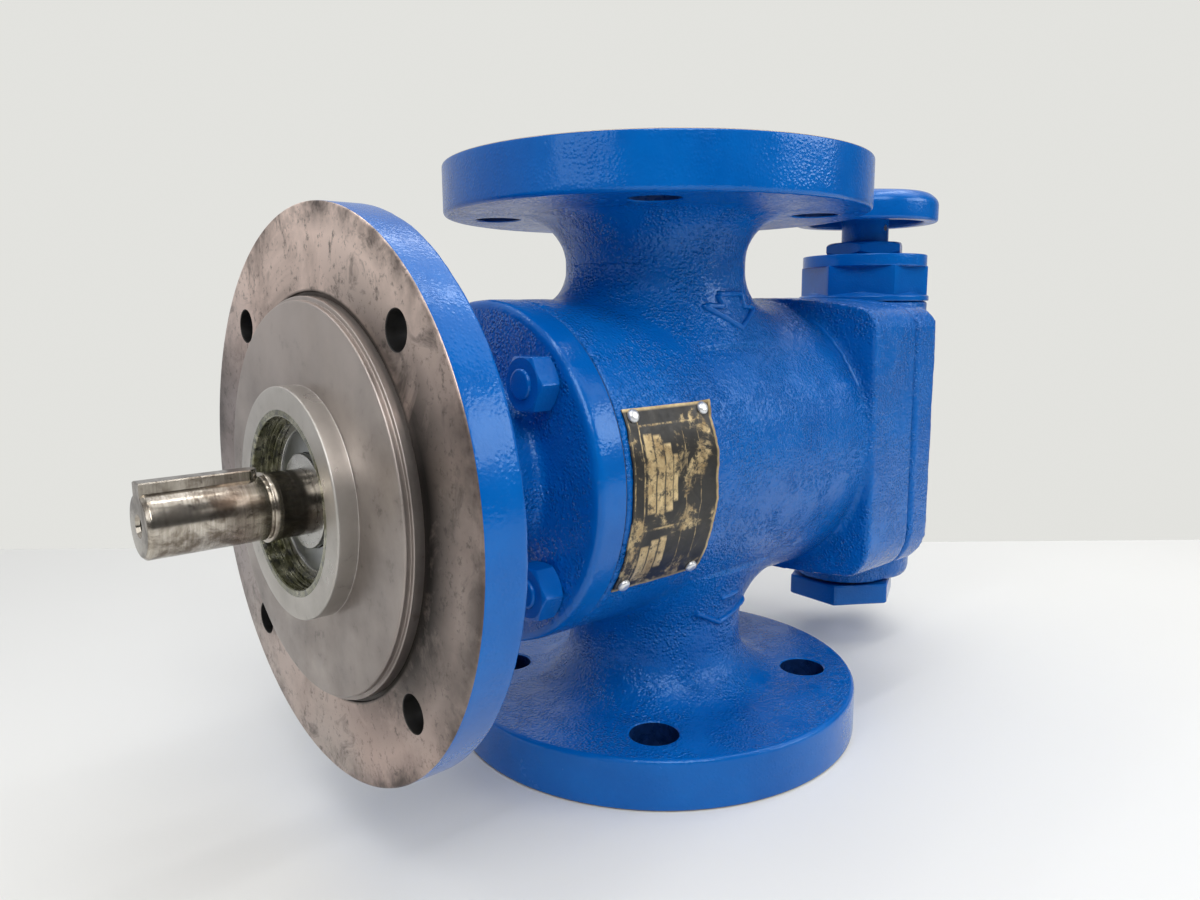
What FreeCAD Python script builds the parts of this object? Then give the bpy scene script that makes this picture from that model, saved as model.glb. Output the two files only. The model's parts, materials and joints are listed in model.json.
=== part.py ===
import FreeCAD, Part
import math
import os

# Triple screw pump with a relief valve, in millimetres.
# The origin is the centre of the lower port face, +Z is up and the shaft points to -X.

Vec = FreeCAD.Vector

# Ports
shaft_height = 112.5
upper_port_rise = 110.2
port_flange_diameter = 165.0
port_flange_thickness = 18.5
port_flange_bevel = 3.5
port_edge_break = 0.8
port_bolt_circle = 125.0
port_bolt_hole = 18.0
upper_bolt_hole = 18.4
port_bolt_count = 4
port_bore = 50.0
port_neck_diameter = 71.0
port_neck_flare = 18.0
port_neck_fillet = 8.0

# Casing
casing_front = -71.5
casing_diameter = 120.0
block_front = 62.0
block_length = 32.0
block_half_width = 62.4
block_crown = 60.7
block_side_top = 47.0
block_side_bottom = 41.0
block_shoulder_width = 55.0
block_shoulder_height = 56.0
block_corner_bulge = 1.9
liner_diameter = 76.0
chamber_depth = 14.0
chamber_half_angle = 34.0
chamber_end_wall = 5.5
suction_front_x = -30.0
discharge_space = 11.0

# Front cover
front_gasket_thickness = 0.5
cover_flange_thickness = 11.5
cover_flange_rounding = 3.0
cover_length = 72.0
cover_neck_diameter = 64.0
cover_neck_fillet = 3.0
disc_diameter = 176.0
disc_thickness = 13.6
disc_edge_break = 1.0
disc_bolt_edge = 15.0
disc_bolt_hole = 11.0
disc_bolt_count = 4
pilot_bolt_space = 13.0
pilot_height = 4.6
pilot_edge_break = 0.8
pilot_ledge_width = 0.8
pilot_ledge_height = 0.7
boss_diameter = 70.0
boss_height = 6.3
boss_edge_break = 0.6
cover_spigot_length = 4.0
seal_chamber_diameter = 44.0
bush_diameter = 40.0
bush_length = 23.0

# Cover studs and nuts
stud_diameter = 10.0
stud_hole_clearance = 0.5
stud_circle = 95.2
stud_count = 4
stud_depth = 20.0
stud_end_beyond_nut = 1.2
nut_across_flats = 17.0
nut_height = 8.4

# Rear cover and its screws
rear_gasket_thickness = 0.8
rear_gasket_inset = 1.6
rear_cover_thickness = 15.2
rear_screw_diameter = 10.0
rear_screw_spread_y = 47.0
rear_screw_spread_z = 44.0
rear_screw_depth = 18.0
rear_screw_head_flats = 17.0
rear_screw_head_height = 6.4
passage_diameter = 14.0
passage_wall = 6.0
passage_top_gap = 2.0
passage_offset = 44.0
rib_thickness = 14.0

# Drive shaft
shaft_extension = 40.0
shaft_end_diameter = 19.0
shaft_end_chamfer = 1.0
shaft_groove_width = 0.8
shaft_groove_depth = 0.4
shaft_land_diameter = 20.8
shaft_land_start = 33.1
shaft_land_length = 2.5
shaft_seat_diameter = 20.0
shaft_shoulder_diameter = 26.0
shaft_shoulder_length = 4.0
shaft_seal_diameter = 22.0
balance_piston_diameter = 30.0
screw_neck_diameter = 20.0
centre_hole_diameter = 5.0
centre_hole_depth = 16.0
key_width = 6.0
key_height = 6.0
key_depth_in_shaft = 3.5
key_length = 32.0

# Ball bearing and its rings
bearing_recess = 7.4
bearing_width = 15.0
bearing_outer_diameter = 52.0
bearing_outer_land = 43.4
bearing_inner_land = 28.6
bearing_ball_diameter = 9.5
bearing_ball_count = 7
bearing_race_gap = 0.05
cage_thickness = 2.4
cage_width = 11.4
cage_pocket_gap = 0.2
shield_thickness = 0.8
shield_inset = 0.5
shield_gap = 0.4
circlip_thickness = 2.0
circlip_groove_depth = 1.4
circlip_radial_width = 3.4
circlip_opening = 8.5
shaft_ring_diameter = 29.0
shaft_ring_thickness = 1.9

# Shaft seal
seal_seat_front = 6.5
seal_seat_length = 6.0
seal_seat_bore = 24.0
seal_ring_diameter = 33.0
seal_ring_length = 6.0
seal_face_gap = 0.05
bellows_diameter = 32.0
bellows_length = 14.0
bellows_folds = 4

# Screws: the idler diameter sets the classic set of three
idler_diameter = 22.0
screw_lead_ratio = 10.0 / 3.0
thread_length = 138.0
power_thread_setback = 1.0
thread_crest_half_angle = 30.0
thread_backlash_angle = 2.6
flank_steps = 6
screw_clearance = 0.3
idler_journal_diameter = 13.0
idler_bush_length = 10.0
idler_bush_floor = 1.0
running_clearance = 0.05
seat_clearance = 0.02
inlet_slot_length = 6.0

# Relief valve: its body's ends from the shaft's axis, its seat from the lower passage
valve_offset = 40.0
valve_body_diameter = 56.0
valve_body_bottom = -81.0
valve_body_top = 59.0
valve_collar_diameter = 62.0
valve_collar_height = 14.0
valve_collar_taper = 8.0
valve_foot_taper = 1.5
valve_bore = 40.0
seat_bottom = 9.5
seat_thickness = 8.0
seat_bore = 25.0
seat_flare = 2.0
under_seat_bore = 28.0
under_seat_depth = 26.0
piston_diameter = 31.0
piston_thickness = 6.0
piston_stem_diameter = 8.0
spring_spigot_diameter = 15.0
spring_spigot_height = 4.0
spring_diameter = 24.0
spring_wire = 3.6
spring_turns = 7
spring_end_gap = 0.15
plate_thickness = 4.0
plate_stop_gap = 0.5
plate_diameter = 31.0
spindle_diameter = 22.0
spindle_socket_diameter = 10.0
spindle_travel = 12.0
stem_reach = 20.0
bonnet_seal_thickness = 1.0
bonnet_seal_width = 5.0
bonnet_spigot_length = 6.0
bonnet_base_diameter = 63.5
bonnet_base_height = 3.0
bonnet_across_flats = 53.6
bonnet_hex_height = 12.8
bonnet_ring_diameter = 60.5
bonnet_ring_height = 5.7
packing_diameter = 29.0
packing_height = 4.0
gland_thread_length = 6.0
gland_across_flats = 35.4
gland_turn = 27.0
gland_height = 6.4
gland_clearance = 0.25

# Handwheel
hub_gap = 1.6
hub_diameter = 22.8
wheel_seat_diameter = 12.0
wheel_seat_length = 11.0
wheel_diameter = 68.8
wheel_rim_bottom = 7.6
wheel_rim_height = 13.8
wheel_rim_width = 6.6
wheel_rim_rounding = 1.6
wheel_web_thickness = 5.0
wheel_crown = 2.6
wheel_shoulder = 4.0
wheel_pin_diameter = 3.0

# Bottom plug
plug_offset = 10.0
plug_across_flats = 48.4
plug_turn = 26.0
plug_height = 10.0
plug_thread_diameter = 34.0
plug_thread_length = 14.0
plug_end_gap = 1.0
plug_pad_diameter = 49.0
plug_seal_thickness = 1.2
plug_seal_width = 3.6

# Name plate
plate_start = 1.2
plate_length = 41.0
plate_top_angle = 25.0
plate_bottom_angle = -34.5
name_plate_thickness = 0.5
name_plate_gap = 0.1
rivet_diameter = 2.0
rivet_head_diameter = 3.4
rivet_head_height = 1.1
rivet_length = 4.0
rivet_inset = 4.5
rivet_angle_inset = 2.4

# The places below follow from the sizes above
full_turn = 360.0
first_bolt_angle = 45.0
round_middle = 1 - math.cos(math.radians(45))
seam_margin = 1.0
axis_z = shaft_height
upper_face_z = shaft_height + upper_port_rise
casing_radius = casing_diameter / 2
block_rear = block_front + block_length
liner_radius = liner_diameter / 2
liner_front = casing_front + discharge_space
cover_back = casing_front - front_gasket_thickness
cover_flange_front = cover_back - cover_flange_thickness
disc_front = cover_back - cover_length
disc_bolt_circle = disc_diameter - 2 * disc_bolt_edge
pilot_diameter = disc_bolt_circle - 2 * pilot_bolt_space
pilot_face = disc_front - pilot_height
boss_face = pilot_face - boss_height
shaft_end = boss_face - shaft_extension
bearing_front = boss_face + bearing_recess
bearing_rear = bearing_front + bearing_width
bush_front = cover_back - bush_length
rear_cover_front = block_rear + rear_gasket_thickness
rear_cover_rear = rear_cover_front + rear_cover_thickness
hole_in_cover = stud_diameter / 2 + stud_hole_clearance
valve_x = rear_cover_rear + valve_offset
plug_x = valve_x - plug_offset
valve_foot_z = axis_z + valve_body_bottom
valve_top_z = axis_z + valve_body_top
lower_passage_z = axis_z - passage_offset
upper_passage_z = valve_top_z - passage_top_gap - passage_wall - passage_diameter / 2
passage_heights = (lower_passage_z, upper_passage_z)
seat_z = lower_passage_z + seat_bottom
thread_start = liner_front + screw_clearance
thread_end = thread_start + thread_length
thread_lead = idler_diameter * screw_lead_ratio
inlet_slot_end = thread_end + inlet_slot_length
bush_start = block_rear - idler_bush_length
pitch_radius = idler_diameter / 2
crest_radius = idler_diameter * 5 / 6
bonnet_bottom = valve_top_z + bonnet_seal_thickness
bonnet_hex_bottom = bonnet_bottom + bonnet_base_height
bonnet_ring_bottom = bonnet_hex_bottom + bonnet_hex_height
bonnet_top = bonnet_ring_bottom + bonnet_ring_height
gland_top = bonnet_top + gland_height
hub_bottom = gland_top + hub_gap
rim_bottom = hub_bottom + wheel_rim_bottom
rim_top = rim_bottom + wheel_rim_height
plug_top = valve_foot_z - plug_seal_thickness
plug_bottom = plug_top - plug_height
piston_bottom = seat_z + seat_thickness
plate_outer = casing_radius + name_plate_gap + name_plate_thickness
plate_limit = bonnet_bottom - bonnet_spigot_length - plate_stop_gap
plate_bottom = plate_limit - spindle_travel - plate_thickness
spindle_bottom = plate_bottom + plate_thickness + seal_face_gap
packing_bottom = bonnet_top - gland_thread_length - packing_height


def save(name, shape):
    """Writes one sub-part as parts/NAME.step."""
    shape.exportStep("parts/" + name + ".step")


def cylinder_x(start, end, radius, y=0.0, z=axis_z):
    """A cylinder along X."""
    return Part.makeCylinder(radius, end - start, Vec(start, y, z), Vec(1, 0, 0))


def cylinder_z(bottom, top, radius, x=0.0, y=0.0):
    """A cylinder along Z."""
    return Part.makeCylinder(radius, top - bottom, Vec(x, y, bottom), Vec(0, 0, 1))


def turned_x(outline, y=0.0):
    """Turns an outline of (x, radius) points about the pump axis or one beside it."""
    points = [Vec(x, y, axis_z + radius) for x, radius in outline]
    face = Part.Face(Part.makePolygon(points + points[:1]))
    return face.revolve(Vec(0, y, axis_z), Vec(1, 0, 0), full_turn)


def turned_z(outline, x=0.0, y=0.0):
    """Turns an outline of (radius, z) points about an upright axis."""
    points = [Vec(x + radius, y, z) for radius, z in outline]
    face = Part.Face(Part.makePolygon(points + points[:1]))
    return face.revolve(Vec(x, y, 0), Vec(0, 0, 1), full_turn)


def ring_x(start, end, outer, inner):
    """A plain ring about the pump axis, from its two diameters."""
    return cylinder_x(start, end, outer / 2).cut(cylinder_x(start, end, inner / 2))


def ring_z(bottom, top, outer, inner, x):
    """A plain upright ring, from its two diameters."""
    return cylinder_z(bottom, top, outer / 2, x).cut(cylinder_z(bottom, top, inner / 2, x))


def hexagon(across_flats, height, turn=0.0):
    """A hexagon prism on the XY plane with both ends broken to a circle."""
    corner = across_flats / math.sqrt(3)
    corners = [Vec(corner, 0, 0)]
    for step in range(1, 6):
        angle = math.radians(60 * step)
        corners.append(Vec(corner * math.cos(angle), corner * math.sin(angle), 0))
    prism = Part.Face(Part.makePolygon(corners + corners[:1])).extrude(Vec(0, 0, height))
    flat = across_flats / 2
    slope = (corner - flat) * math.tan(math.radians(30))
    envelope = turned_z([(0, 0), (flat, 0), (corner, slope), (corner, height - slope),
                         (flat, height), (0, height)])
    solid = prism.common(envelope)
    solid.rotate(Vec(0, 0, 0), Vec(0, 0, 1), turn)
    return solid


def hexagon_x(across_flats, start, height, y, z):
    """The same hexagon prism along X, from its start plane."""
    solid = hexagon(across_flats, height)
    solid.rotate(Vec(0, 0, 0), Vec(0, 1, 0), 90)
    solid.translate(Vec(start, y, z))
    return solid


def bolt_places(circle_diameter, count):
    """Even places on a bolt circle as pairs from its centre, with none on an axis."""
    radius = circle_diameter / 2
    for step in range(count):
        angle = math.radians(first_bolt_angle + step * full_turn / count)
        yield radius * math.cos(angle), radius * math.sin(angle)


def around_shaft(circle_diameter, count):
    """Bolt places (y, z) about the pump axis."""
    return [(y, axis_z + rise) for y, rise in bolt_places(circle_diameter, count)]


def merged(shapes):
    """One solid from shapes that run into each other."""
    return shapes[0].multiFuse(shapes[1:]).removeSplitter()


def port(face_z, inward):
    """A port neck with its flange; inward is +1 or -1 from the face towards the shaft."""
    flange_radius = port_flange_diameter / 2
    neck_radius = port_neck_diameter / 2
    root = face_z + inward * port_flange_thickness
    space = abs(axis_z - face_z) - port_flange_thickness - casing_radius
    flare = min(port_neck_flare, space - port_neck_fillet - seam_margin)
    bend = root + inward * flare
    bend_radius = neck_radius + flare
    middle = Vec(neck_radius + flare * round_middle, 0, root + inward * flare * round_middle)
    outline = [
        Vec(0, 0, axis_z),
        Vec(0, 0, face_z),
        Vec(flange_radius - port_edge_break, 0, face_z),
        Vec(flange_radius, 0, face_z + inward * port_edge_break),
        Vec(flange_radius, 0, root - inward * port_flange_bevel),
        Vec(flange_radius - port_flange_bevel, 0, root),
        Vec(bend_radius, 0, root),
    ]
    edges = [Part.makeLine(a, b) for a, b in zip(outline, outline[1:])]
    edges.append(Part.Arc(outline[-1], middle, Vec(neck_radius, 0, bend)).toShape())
    edges.append(Part.makeLine(Vec(neck_radius, 0, bend), Vec(neck_radius, 0, axis_z)))
    edges.append(Part.makeLine(Vec(neck_radius, 0, axis_z), outline[0]))
    return Part.Face(Part.Wire(edges)).revolve(Vec(0, 0, 0), Vec(0, 0, 1), full_turn)


def block_face(x, inset=0.0):
    """The rounded outline of the valve end, shared by the casing, gasket and cover."""
    side = block_half_width - inset
    shoulder = block_shoulder_width - inset
    rise = block_shoulder_height - inset
    crown = block_crown - inset
    top = block_side_top - inset / 2
    bottom = block_side_bottom - inset / 2

    def corner(y_sign, z_sign, height):
        """An arc from the upright side to the shoulder of one corner."""
        bulge = block_corner_bulge / math.sqrt(2)
        middle = Vec(x, y_sign * ((side + shoulder) / 2 + bulge),
                     axis_z + z_sign * ((rise + height) / 2 + bulge))
        start = Vec(x, y_sign * side, axis_z + z_sign * height)
        return Part.Arc(start, middle, Vec(x, y_sign * shoulder, axis_z + z_sign * rise)).toShape()

    def crown_arc(z_sign):
        """The slightly arched top or bottom."""
        return Part.Arc(Vec(x, -shoulder, axis_z + z_sign * rise), Vec(x, 0, axis_z + z_sign * crown),
                        Vec(x, shoulder, axis_z + z_sign * rise)).toShape()

    edges = [crown_arc(1), crown_arc(-1)]
    for y_sign in (-1, 1):
        edges.append(corner(y_sign, 1, top))
        edges.append(corner(y_sign, -1, bottom))
        edges.append(Part.makeLine(Vec(x, y_sign * side, axis_z - bottom),
                                   Vec(x, y_sign * side, axis_z + top)))
    return Part.Face(Part.Wire(Part.__sortEdges__(edges)))


def wedge_x(start, end, low_angle, high_angle):
    """A wedge about the pump axis between two angles, which are 0 towards +Y and 90 upwards."""
    reach = 2 * casing_diameter
    corners = [Vec(start, 0, axis_z)]
    for angle in (low_angle, high_angle):
        turn = math.radians(angle)
        corners.append(Vec(start, reach * math.cos(turn), axis_z + reach * math.sin(turn)))
    return Part.Face(Part.makePolygon(corners + corners[:1])).extrude(Vec(end - start, 0, 0))


def chamber(start, end, middle_angle):
    """A flow chamber round the liner: a sector of a thick ring along X."""
    ring = cylinder_x(start, end, liner_radius + chamber_depth)
    ring = ring.cut(cylinder_x(start, end, liner_radius - running_clearance))
    low_angle = middle_angle - chamber_half_angle
    return ring.common(wedge_x(start, end, low_angle, low_angle + 2 * chamber_half_angle))


def pump_casing():
    """The casing with both ports and the squared valve end."""
    barrel = cylinder_x(casing_front, block_front, casing_radius)
    block = block_face(block_front).extrude(Vec(block_length, 0, 0))
    necks = merged([barrel, port(0.0, 1), port(upper_face_z, -1)])
    roots = [edge for edge in necks.Edges if is_neck_root(edge)]
    casing = merged([necks.makeFillet(port_neck_fillet, roots), block])
    tools = [cylinder_x(casing_front, block_rear, liner_radius)]
    tools.append(cylinder_z(0.0, axis_z - liner_radius, port_bore / 2))
    tools.append(cylinder_z(axis_z + liner_radius, upper_face_z, port_bore / 2))
    tools.append(chamber(suction_front_x, block_rear, 90))
    tools.append(chamber(casing_front + chamber_end_wall, block_rear, -90))
    upper_root = upper_face_z - port_flange_thickness
    for x, y in bolt_places(port_bolt_circle, port_bolt_count):
        tools.append(cylinder_z(0.0, port_flange_thickness, port_bolt_hole / 2, x, y))
        tools.append(cylinder_z(upper_root, upper_face_z, upper_bolt_hole / 2, x, y))
    for y, z in around_shaft(stud_circle, stud_count):
        depth = casing_front + stud_depth + seat_clearance
        tools.append(cylinder_x(casing_front, depth, stud_diameter / 2 + seat_clearance, y, z))
    for y, z in rear_screw_places():
        start = block_rear - rear_screw_depth - seat_clearance
        tools.append(cylinder_x(start, block_rear, rear_screw_diameter / 2 + seat_clearance, y, z))
    tools.extend(rivet_shanks(rivet_diameter / 2 + seat_clearance))
    return casing.cut(tools)


def is_neck_root(edge):
    """True for the curved seam where a port neck runs into the barrel."""
    box = edge.BoundBox
    across = port_neck_diameter / 2 + seam_margin
    height = casing_radius + seam_margin
    above = box.ZMin > axis_z + casing_radius / 2 and box.ZMax < axis_z + height
    below = box.ZMax < axis_z - casing_radius / 2 and box.ZMin > axis_z - height
    return (above or below) and box.ZLength > seam_margin and box.XMax < across and box.XMin > -across


def front_cover():
    """The bearing cover with its mounting disc, pilot and boss."""
    neck = cover_neck_diameter / 2
    disc_back = disc_front + disc_thickness
    rounding_middle = round_middle * cover_flange_rounding
    outline = [
        (cover_back, 0),
        (boss_face, 0),
        (boss_face, boss_diameter / 2 - boss_edge_break),
        (boss_face + boss_edge_break, boss_diameter / 2),
        (pilot_face, boss_diameter / 2),
        (pilot_face, pilot_diameter / 2 - pilot_edge_break),
        (pilot_face + pilot_edge_break, pilot_diameter / 2),
        (disc_front - pilot_ledge_height, pilot_diameter / 2),
        (disc_front - pilot_ledge_height, pilot_diameter / 2 + pilot_ledge_width),
        (disc_front, pilot_diameter / 2 + pilot_ledge_width),
        (disc_front, disc_diameter / 2 - disc_edge_break),
        (disc_front + disc_edge_break, disc_diameter / 2),
        (disc_back - disc_edge_break, disc_diameter / 2),
        (disc_back, disc_diameter / 2 - disc_edge_break),
        (disc_back, neck + cover_neck_fillet),
        (disc_back + cover_neck_fillet, neck),
        (cover_flange_front - cover_neck_fillet, neck),
        (cover_flange_front, neck + cover_neck_fillet),
        (cover_flange_front, casing_radius - cover_flange_rounding),
        (cover_flange_front + rounding_middle, casing_radius - rounding_middle),
        (cover_flange_front + cover_flange_rounding, casing_radius),
        (cover_back, casing_radius),
    ]
    cover = turned_x(outline)
    spigot = cylinder_x(cover_back, cover_back + cover_spigot_length, liner_radius - running_clearance)
    cover = merged([cover, spigot])
    bearing_seat = bearing_outer_diameter / 2 + seat_clearance
    tools = [cylinder_x(boss_face, bearing_rear, bearing_seat)]
    groove_front = bearing_front - circlip_thickness - 2 * seat_clearance
    tools.append(cylinder_x(groove_front, bearing_front, bearing_seat + circlip_groove_depth))
    tools.append(cylinder_x(bearing_rear, bush_front, seal_chamber_diameter / 2))
    tools.append(cylinder_x(bush_front, cover_back + cover_spigot_length, bush_diameter / 2 + seat_clearance))
    for y, z in around_shaft(disc_bolt_circle, disc_bolt_count):
        tools.append(cylinder_x(disc_front, disc_back, disc_bolt_hole / 2, y, z))
    for y, z in around_shaft(stud_circle, stud_count):
        tools.append(cylinder_x(cover_flange_front, cover_back, hole_in_cover, y, z))
    return cover.cut(tools)


def front_gasket():
    """The flat gasket between the front cover and the casing."""
    gasket = ring_x(cover_back, casing_front, casing_diameter - 2 * front_gasket_thickness, liner_diameter)
    holes = [cylinder_x(cover_back, casing_front, hole_in_cover, y, z)
             for y, z in around_shaft(stud_circle, stud_count)]
    return gasket.cut(holes)


def cover_studs():
    """The studs that hold the front cover, as one group."""
    front = cover_flange_front - nut_height - stud_end_beyond_nut
    back = casing_front + stud_depth
    return Part.makeCompound([cylinder_x(front, back, stud_diameter / 2, y, z)
                              for y, z in around_shaft(stud_circle, stud_count)])


def cover_nuts():
    """The hexagon nuts on the studs, as one group."""
    nuts = []
    front = cover_flange_front - nut_height
    for y, z in around_shaft(stud_circle, stud_count):
        nut = hexagon_x(nut_across_flats, front, nut_height, y, z)
        nuts.append(nut.cut(cylinder_x(front, cover_flange_front, stud_diameter / 2 + seat_clearance, y, z)))
    return Part.makeCompound(nuts)


def rear_screw_places():
    """Places (y, z) of the rear cover's screws."""
    for y_sign in (-1, 1):
        for z_sign in (-1, 1):
            yield y_sign * rear_screw_spread_y, axis_z + z_sign * rear_screw_spread_z


def rear_cover_screws():
    """The hexagon screws that hold the rear cover, as one group."""
    screws = []
    for y, z in rear_screw_places():
        shank = cylinder_x(block_rear - rear_screw_depth, rear_cover_rear, rear_screw_diameter / 2, y, z)
        head = hexagon_x(rear_screw_head_flats, rear_cover_rear, rear_screw_head_height, y, z)
        screws.append(merged([shank, head]))
    return Part.makeCompound(screws)


def rear_gasket():
    """The gasket at the valve end, set in from the outline so that the joint shows."""
    gasket = block_face(block_rear, rear_gasket_inset).extrude(Vec(rear_gasket_thickness, 0, 0))
    tools = [cylinder_x(block_rear, rear_cover_front, passage_diameter / 2, 0, height)
             for height in passage_heights]
    hole = rear_screw_diameter / 2 + stud_hole_clearance
    for y, z in rear_screw_places():
        tools.append(cylinder_x(block_rear, rear_cover_front, hole, y, z))
    return gasket.cut(tools)


def rear_cover():
    """The rear cover with the upright valve body cast on behind it."""
    body_radius = valve_body_diameter / 2
    tube_radius = passage_diameter / 2 + passage_wall
    shapes = [block_face(rear_cover_front).extrude(Vec(rear_cover_thickness, 0, 0))]
    shapes.append(turned_z([
        (0, valve_foot_z),
        (body_radius - valve_foot_taper, valve_foot_z),
        (body_radius, valve_foot_z + 2 * valve_foot_taper),
        (body_radius, valve_top_z - valve_collar_height - valve_collar_taper),
        (valve_collar_diameter / 2, valve_top_z - valve_collar_height),
        (valve_collar_diameter / 2, valve_top_z),
        (0, valve_top_z),
    ], valve_x))
    shapes.append(cylinder_z(valve_foot_z, lower_passage_z, plug_pad_diameter / 2, plug_x))
    for height in passage_heights:
        shapes.append(cylinder_x(rear_cover_front, valve_x, tube_radius, 0, height))
    rib_height = upper_passage_z - lower_passage_z
    shapes.append(Part.makeBox(valve_x - rear_cover_front, rib_thickness, rib_height,
                               Vec(rear_cover_front, -rib_thickness / 2, lower_passage_z)))
    cover = merged(shapes)
    tools = [cylinder_x(rear_cover_front, valve_x, passage_diameter / 2, 0, height)
             for height in passage_heights]
    tools.append(cylinder_z(seat_z, valve_top_z, valve_bore / 2 + seat_clearance, valve_x))
    tools.append(cylinder_z(seat_z - under_seat_depth, seat_z, under_seat_bore / 2, valve_x))
    plug_hole = plug_thread_diameter / 2 + seat_clearance
    tools.append(cylinder_z(valve_foot_z, valve_foot_z + plug_thread_length, plug_hole, plug_x))
    tools.append(cylinder_z(valve_foot_z, lower_passage_z, passage_diameter / 2, plug_x))
    hole = rear_screw_diameter / 2 + stud_hole_clearance
    for y, z in rear_screw_places():
        tools.append(cylinder_x(rear_cover_front, rear_cover_rear, hole, y, z))
    return cover.cut(tools)


def flank(tip_radius, start_radius, end_radius):
    """Points (radius, angle) of the path that a mating thread's tip cuts beside its root.

    The two screws turn at equal and opposite speed at one idler diameter apart, so the
    tip at tip_radius follows a looped cycloid. It is read between two radii, and its
    angles count from the outer end.
    """
    spacing = idler_diameter

    def place(angle):
        x = spacing * math.cos(angle) - tip_radius * math.cos(2 * angle)
        y = spacing * math.sin(angle) - tip_radius * math.sin(2 * angle)
        return math.hypot(x, y), math.atan2(y, x)

    def angle_at(radius):
        # Rounding may bring the cosine a hair over one where the path starts.
        cosine = (spacing ** 2 + tip_radius ** 2 - radius ** 2) / (2 * spacing * tip_radius)
        return math.acos(min(1.0, cosine))

    first, last = angle_at(start_radius), angle_at(end_radius)
    path = [place(last + (first - last) * step / flank_steps) for step in range(flank_steps + 1)]
    outer_angle = path[0][1]
    side = math.copysign(1, outer_angle - path[-1][1])
    return [(radius, side * (outer_angle - angle)) for radius, angle in path]


def two_start_section(crest, root, crest_half, flank_path):
    """The closed section of a screw with two threads, in the XY plane, crest towards +X."""
    def at(radius, angle):
        return Vec(radius * math.cos(angle), radius * math.sin(angle), 0)

    def round_part(radius, first, last):
        return Part.Arc(at(radius, first), at(radius, (first + last) / 2), at(radius, last)).toShape()

    def flank_curve(points):
        curve = Part.BSplineCurve()
        curve.interpolate(points)
        return curve.toShape()

    span = flank_path[-1][1]
    edges = []
    for centre in (0.0, math.pi):
        crest_end = centre + crest_half
        next_crest = centre + math.pi - crest_half
        edges.append(round_part(crest, centre - crest_half, crest_end))
        edges.append(flank_curve([at(radius, crest_end + turn) for radius, turn in flank_path]))
        edges.append(round_part(root, crest_end + span, next_crest - span))
        edges.append(flank_curve([at(radius, next_crest - turn) for radius, turn in reversed(flank_path)]))
    return Part.Wire(edges)


def threaded_core(section, length, left_handed, y, turn):
    """Sweeps a section along its helix and lays it along X, beside the shaft by y."""
    spine = Part.Wire([Part.makeLine(Vec(0, 0, 0), Vec(0, 0, length))])
    guide = Part.Wire(Part.makeHelix(thread_lead, length, idler_diameter, 0, left_handed).Edges)
    sweep = Part.BRepOffsetAPI.MakePipeShell(spine)
    sweep.setAuxiliarySpine(guide, True, 0)
    sweep.add(section)
    sweep.build()
    sweep.makeSolid()
    core = sweep.shape()
    core.rotate(Vec(0, 0, 0), Vec(0, 0, 1), turn)
    core.rotate(Vec(0, 0, 0), Vec(0, 1, 0), 90)
    core.translate(Vec(thread_start, y, axis_z))
    return core


def power_thread():
    """The driving screw's thread; its flanks follow the idlers' tips."""
    crest = crest_radius - screw_clearance
    crest_half = math.radians(thread_crest_half_angle - thread_backlash_angle)
    flank_path = flank(pitch_radius, pitch_radius, crest)
    section = two_start_section(crest, pitch_radius, crest_half, flank_path)
    return threaded_core(section, thread_length - power_thread_setback, False, 0.0, 90.0)


def idler_thread(y):
    """One idler's thread; its flanks follow the driving screw's tips."""
    crest = pitch_radius - screw_clearance
    root = idler_diameter - crest_radius
    flank_path = flank(crest_radius, root, crest)
    valley_half = math.radians(thread_crest_half_angle + thread_backlash_angle)
    crest_half = math.pi / 2 - valley_half - flank_path[-1][1]
    section = two_start_section(crest, root, crest_half, flank_path)
    return threaded_core(section, thread_length, True, y, 0.0)


def idler_screw(y):
    """An idler with its plain journal at the suction end."""
    journal_end = block_rear - idler_bush_floor - running_clearance
    journal = cylinder_x(thread_end, journal_end, idler_journal_diameter / 2, y)
    core_radius = idler_diameter - crest_radius - screw_clearance
    core = cylinder_x(thread_end - idler_journal_diameter, journal_end, core_radius, y)
    return merged([idler_thread(y), core, journal])


def shaft_outline():
    """Outline (x, radius) of the turned drive shaft up to the thread."""
    end = shaft_end_diameter / 2
    land_start = shaft_end + shaft_land_start
    land_end = land_start + shaft_land_length
    shoulder_end = bearing_rear + shaft_shoulder_length
    piston_end = cover_back + cover_spigot_length + 2 * seat_clearance
    return [
        (shaft_end, 0),
        (shaft_end, end - shaft_end_chamfer),
        (shaft_end + shaft_end_chamfer, end),
        (land_start - shaft_groove_width, end),
        (land_start - shaft_groove_width, end - shaft_groove_depth),
        (land_start, end - shaft_groove_depth),
        (land_start, shaft_land_diameter / 2),
        (land_end, shaft_land_diameter / 2),
        (land_end, shaft_seat_diameter / 2),
        (bearing_rear, shaft_seat_diameter / 2),
        (bearing_rear, shaft_shoulder_diameter / 2),
        (shoulder_end, shaft_shoulder_diameter / 2),
        (shoulder_end, shaft_seal_diameter / 2),
        (bush_front - running_clearance, shaft_seal_diameter / 2),
        (bush_front - running_clearance, balance_piston_diameter / 2),
        (piston_end, balance_piston_diameter / 2),
        (piston_end, screw_neck_diameter / 2),
        (thread_start, screw_neck_diameter / 2),
        (thread_start, 0),
    ]


def key_shape(width, top, length):
    """A key or its slot: flush at the shaft end and round at the other end."""
    floor = axis_z + shaft_end_diameter / 2 - key_depth_in_shaft
    square = length - width / 2
    bar = Part.makeBox(square, width, top - floor, Vec(shaft_end, -width / 2, floor))
    end = cylinder_z(floor, top, width / 2, shaft_end + square)
    return merged([bar, end])


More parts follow.
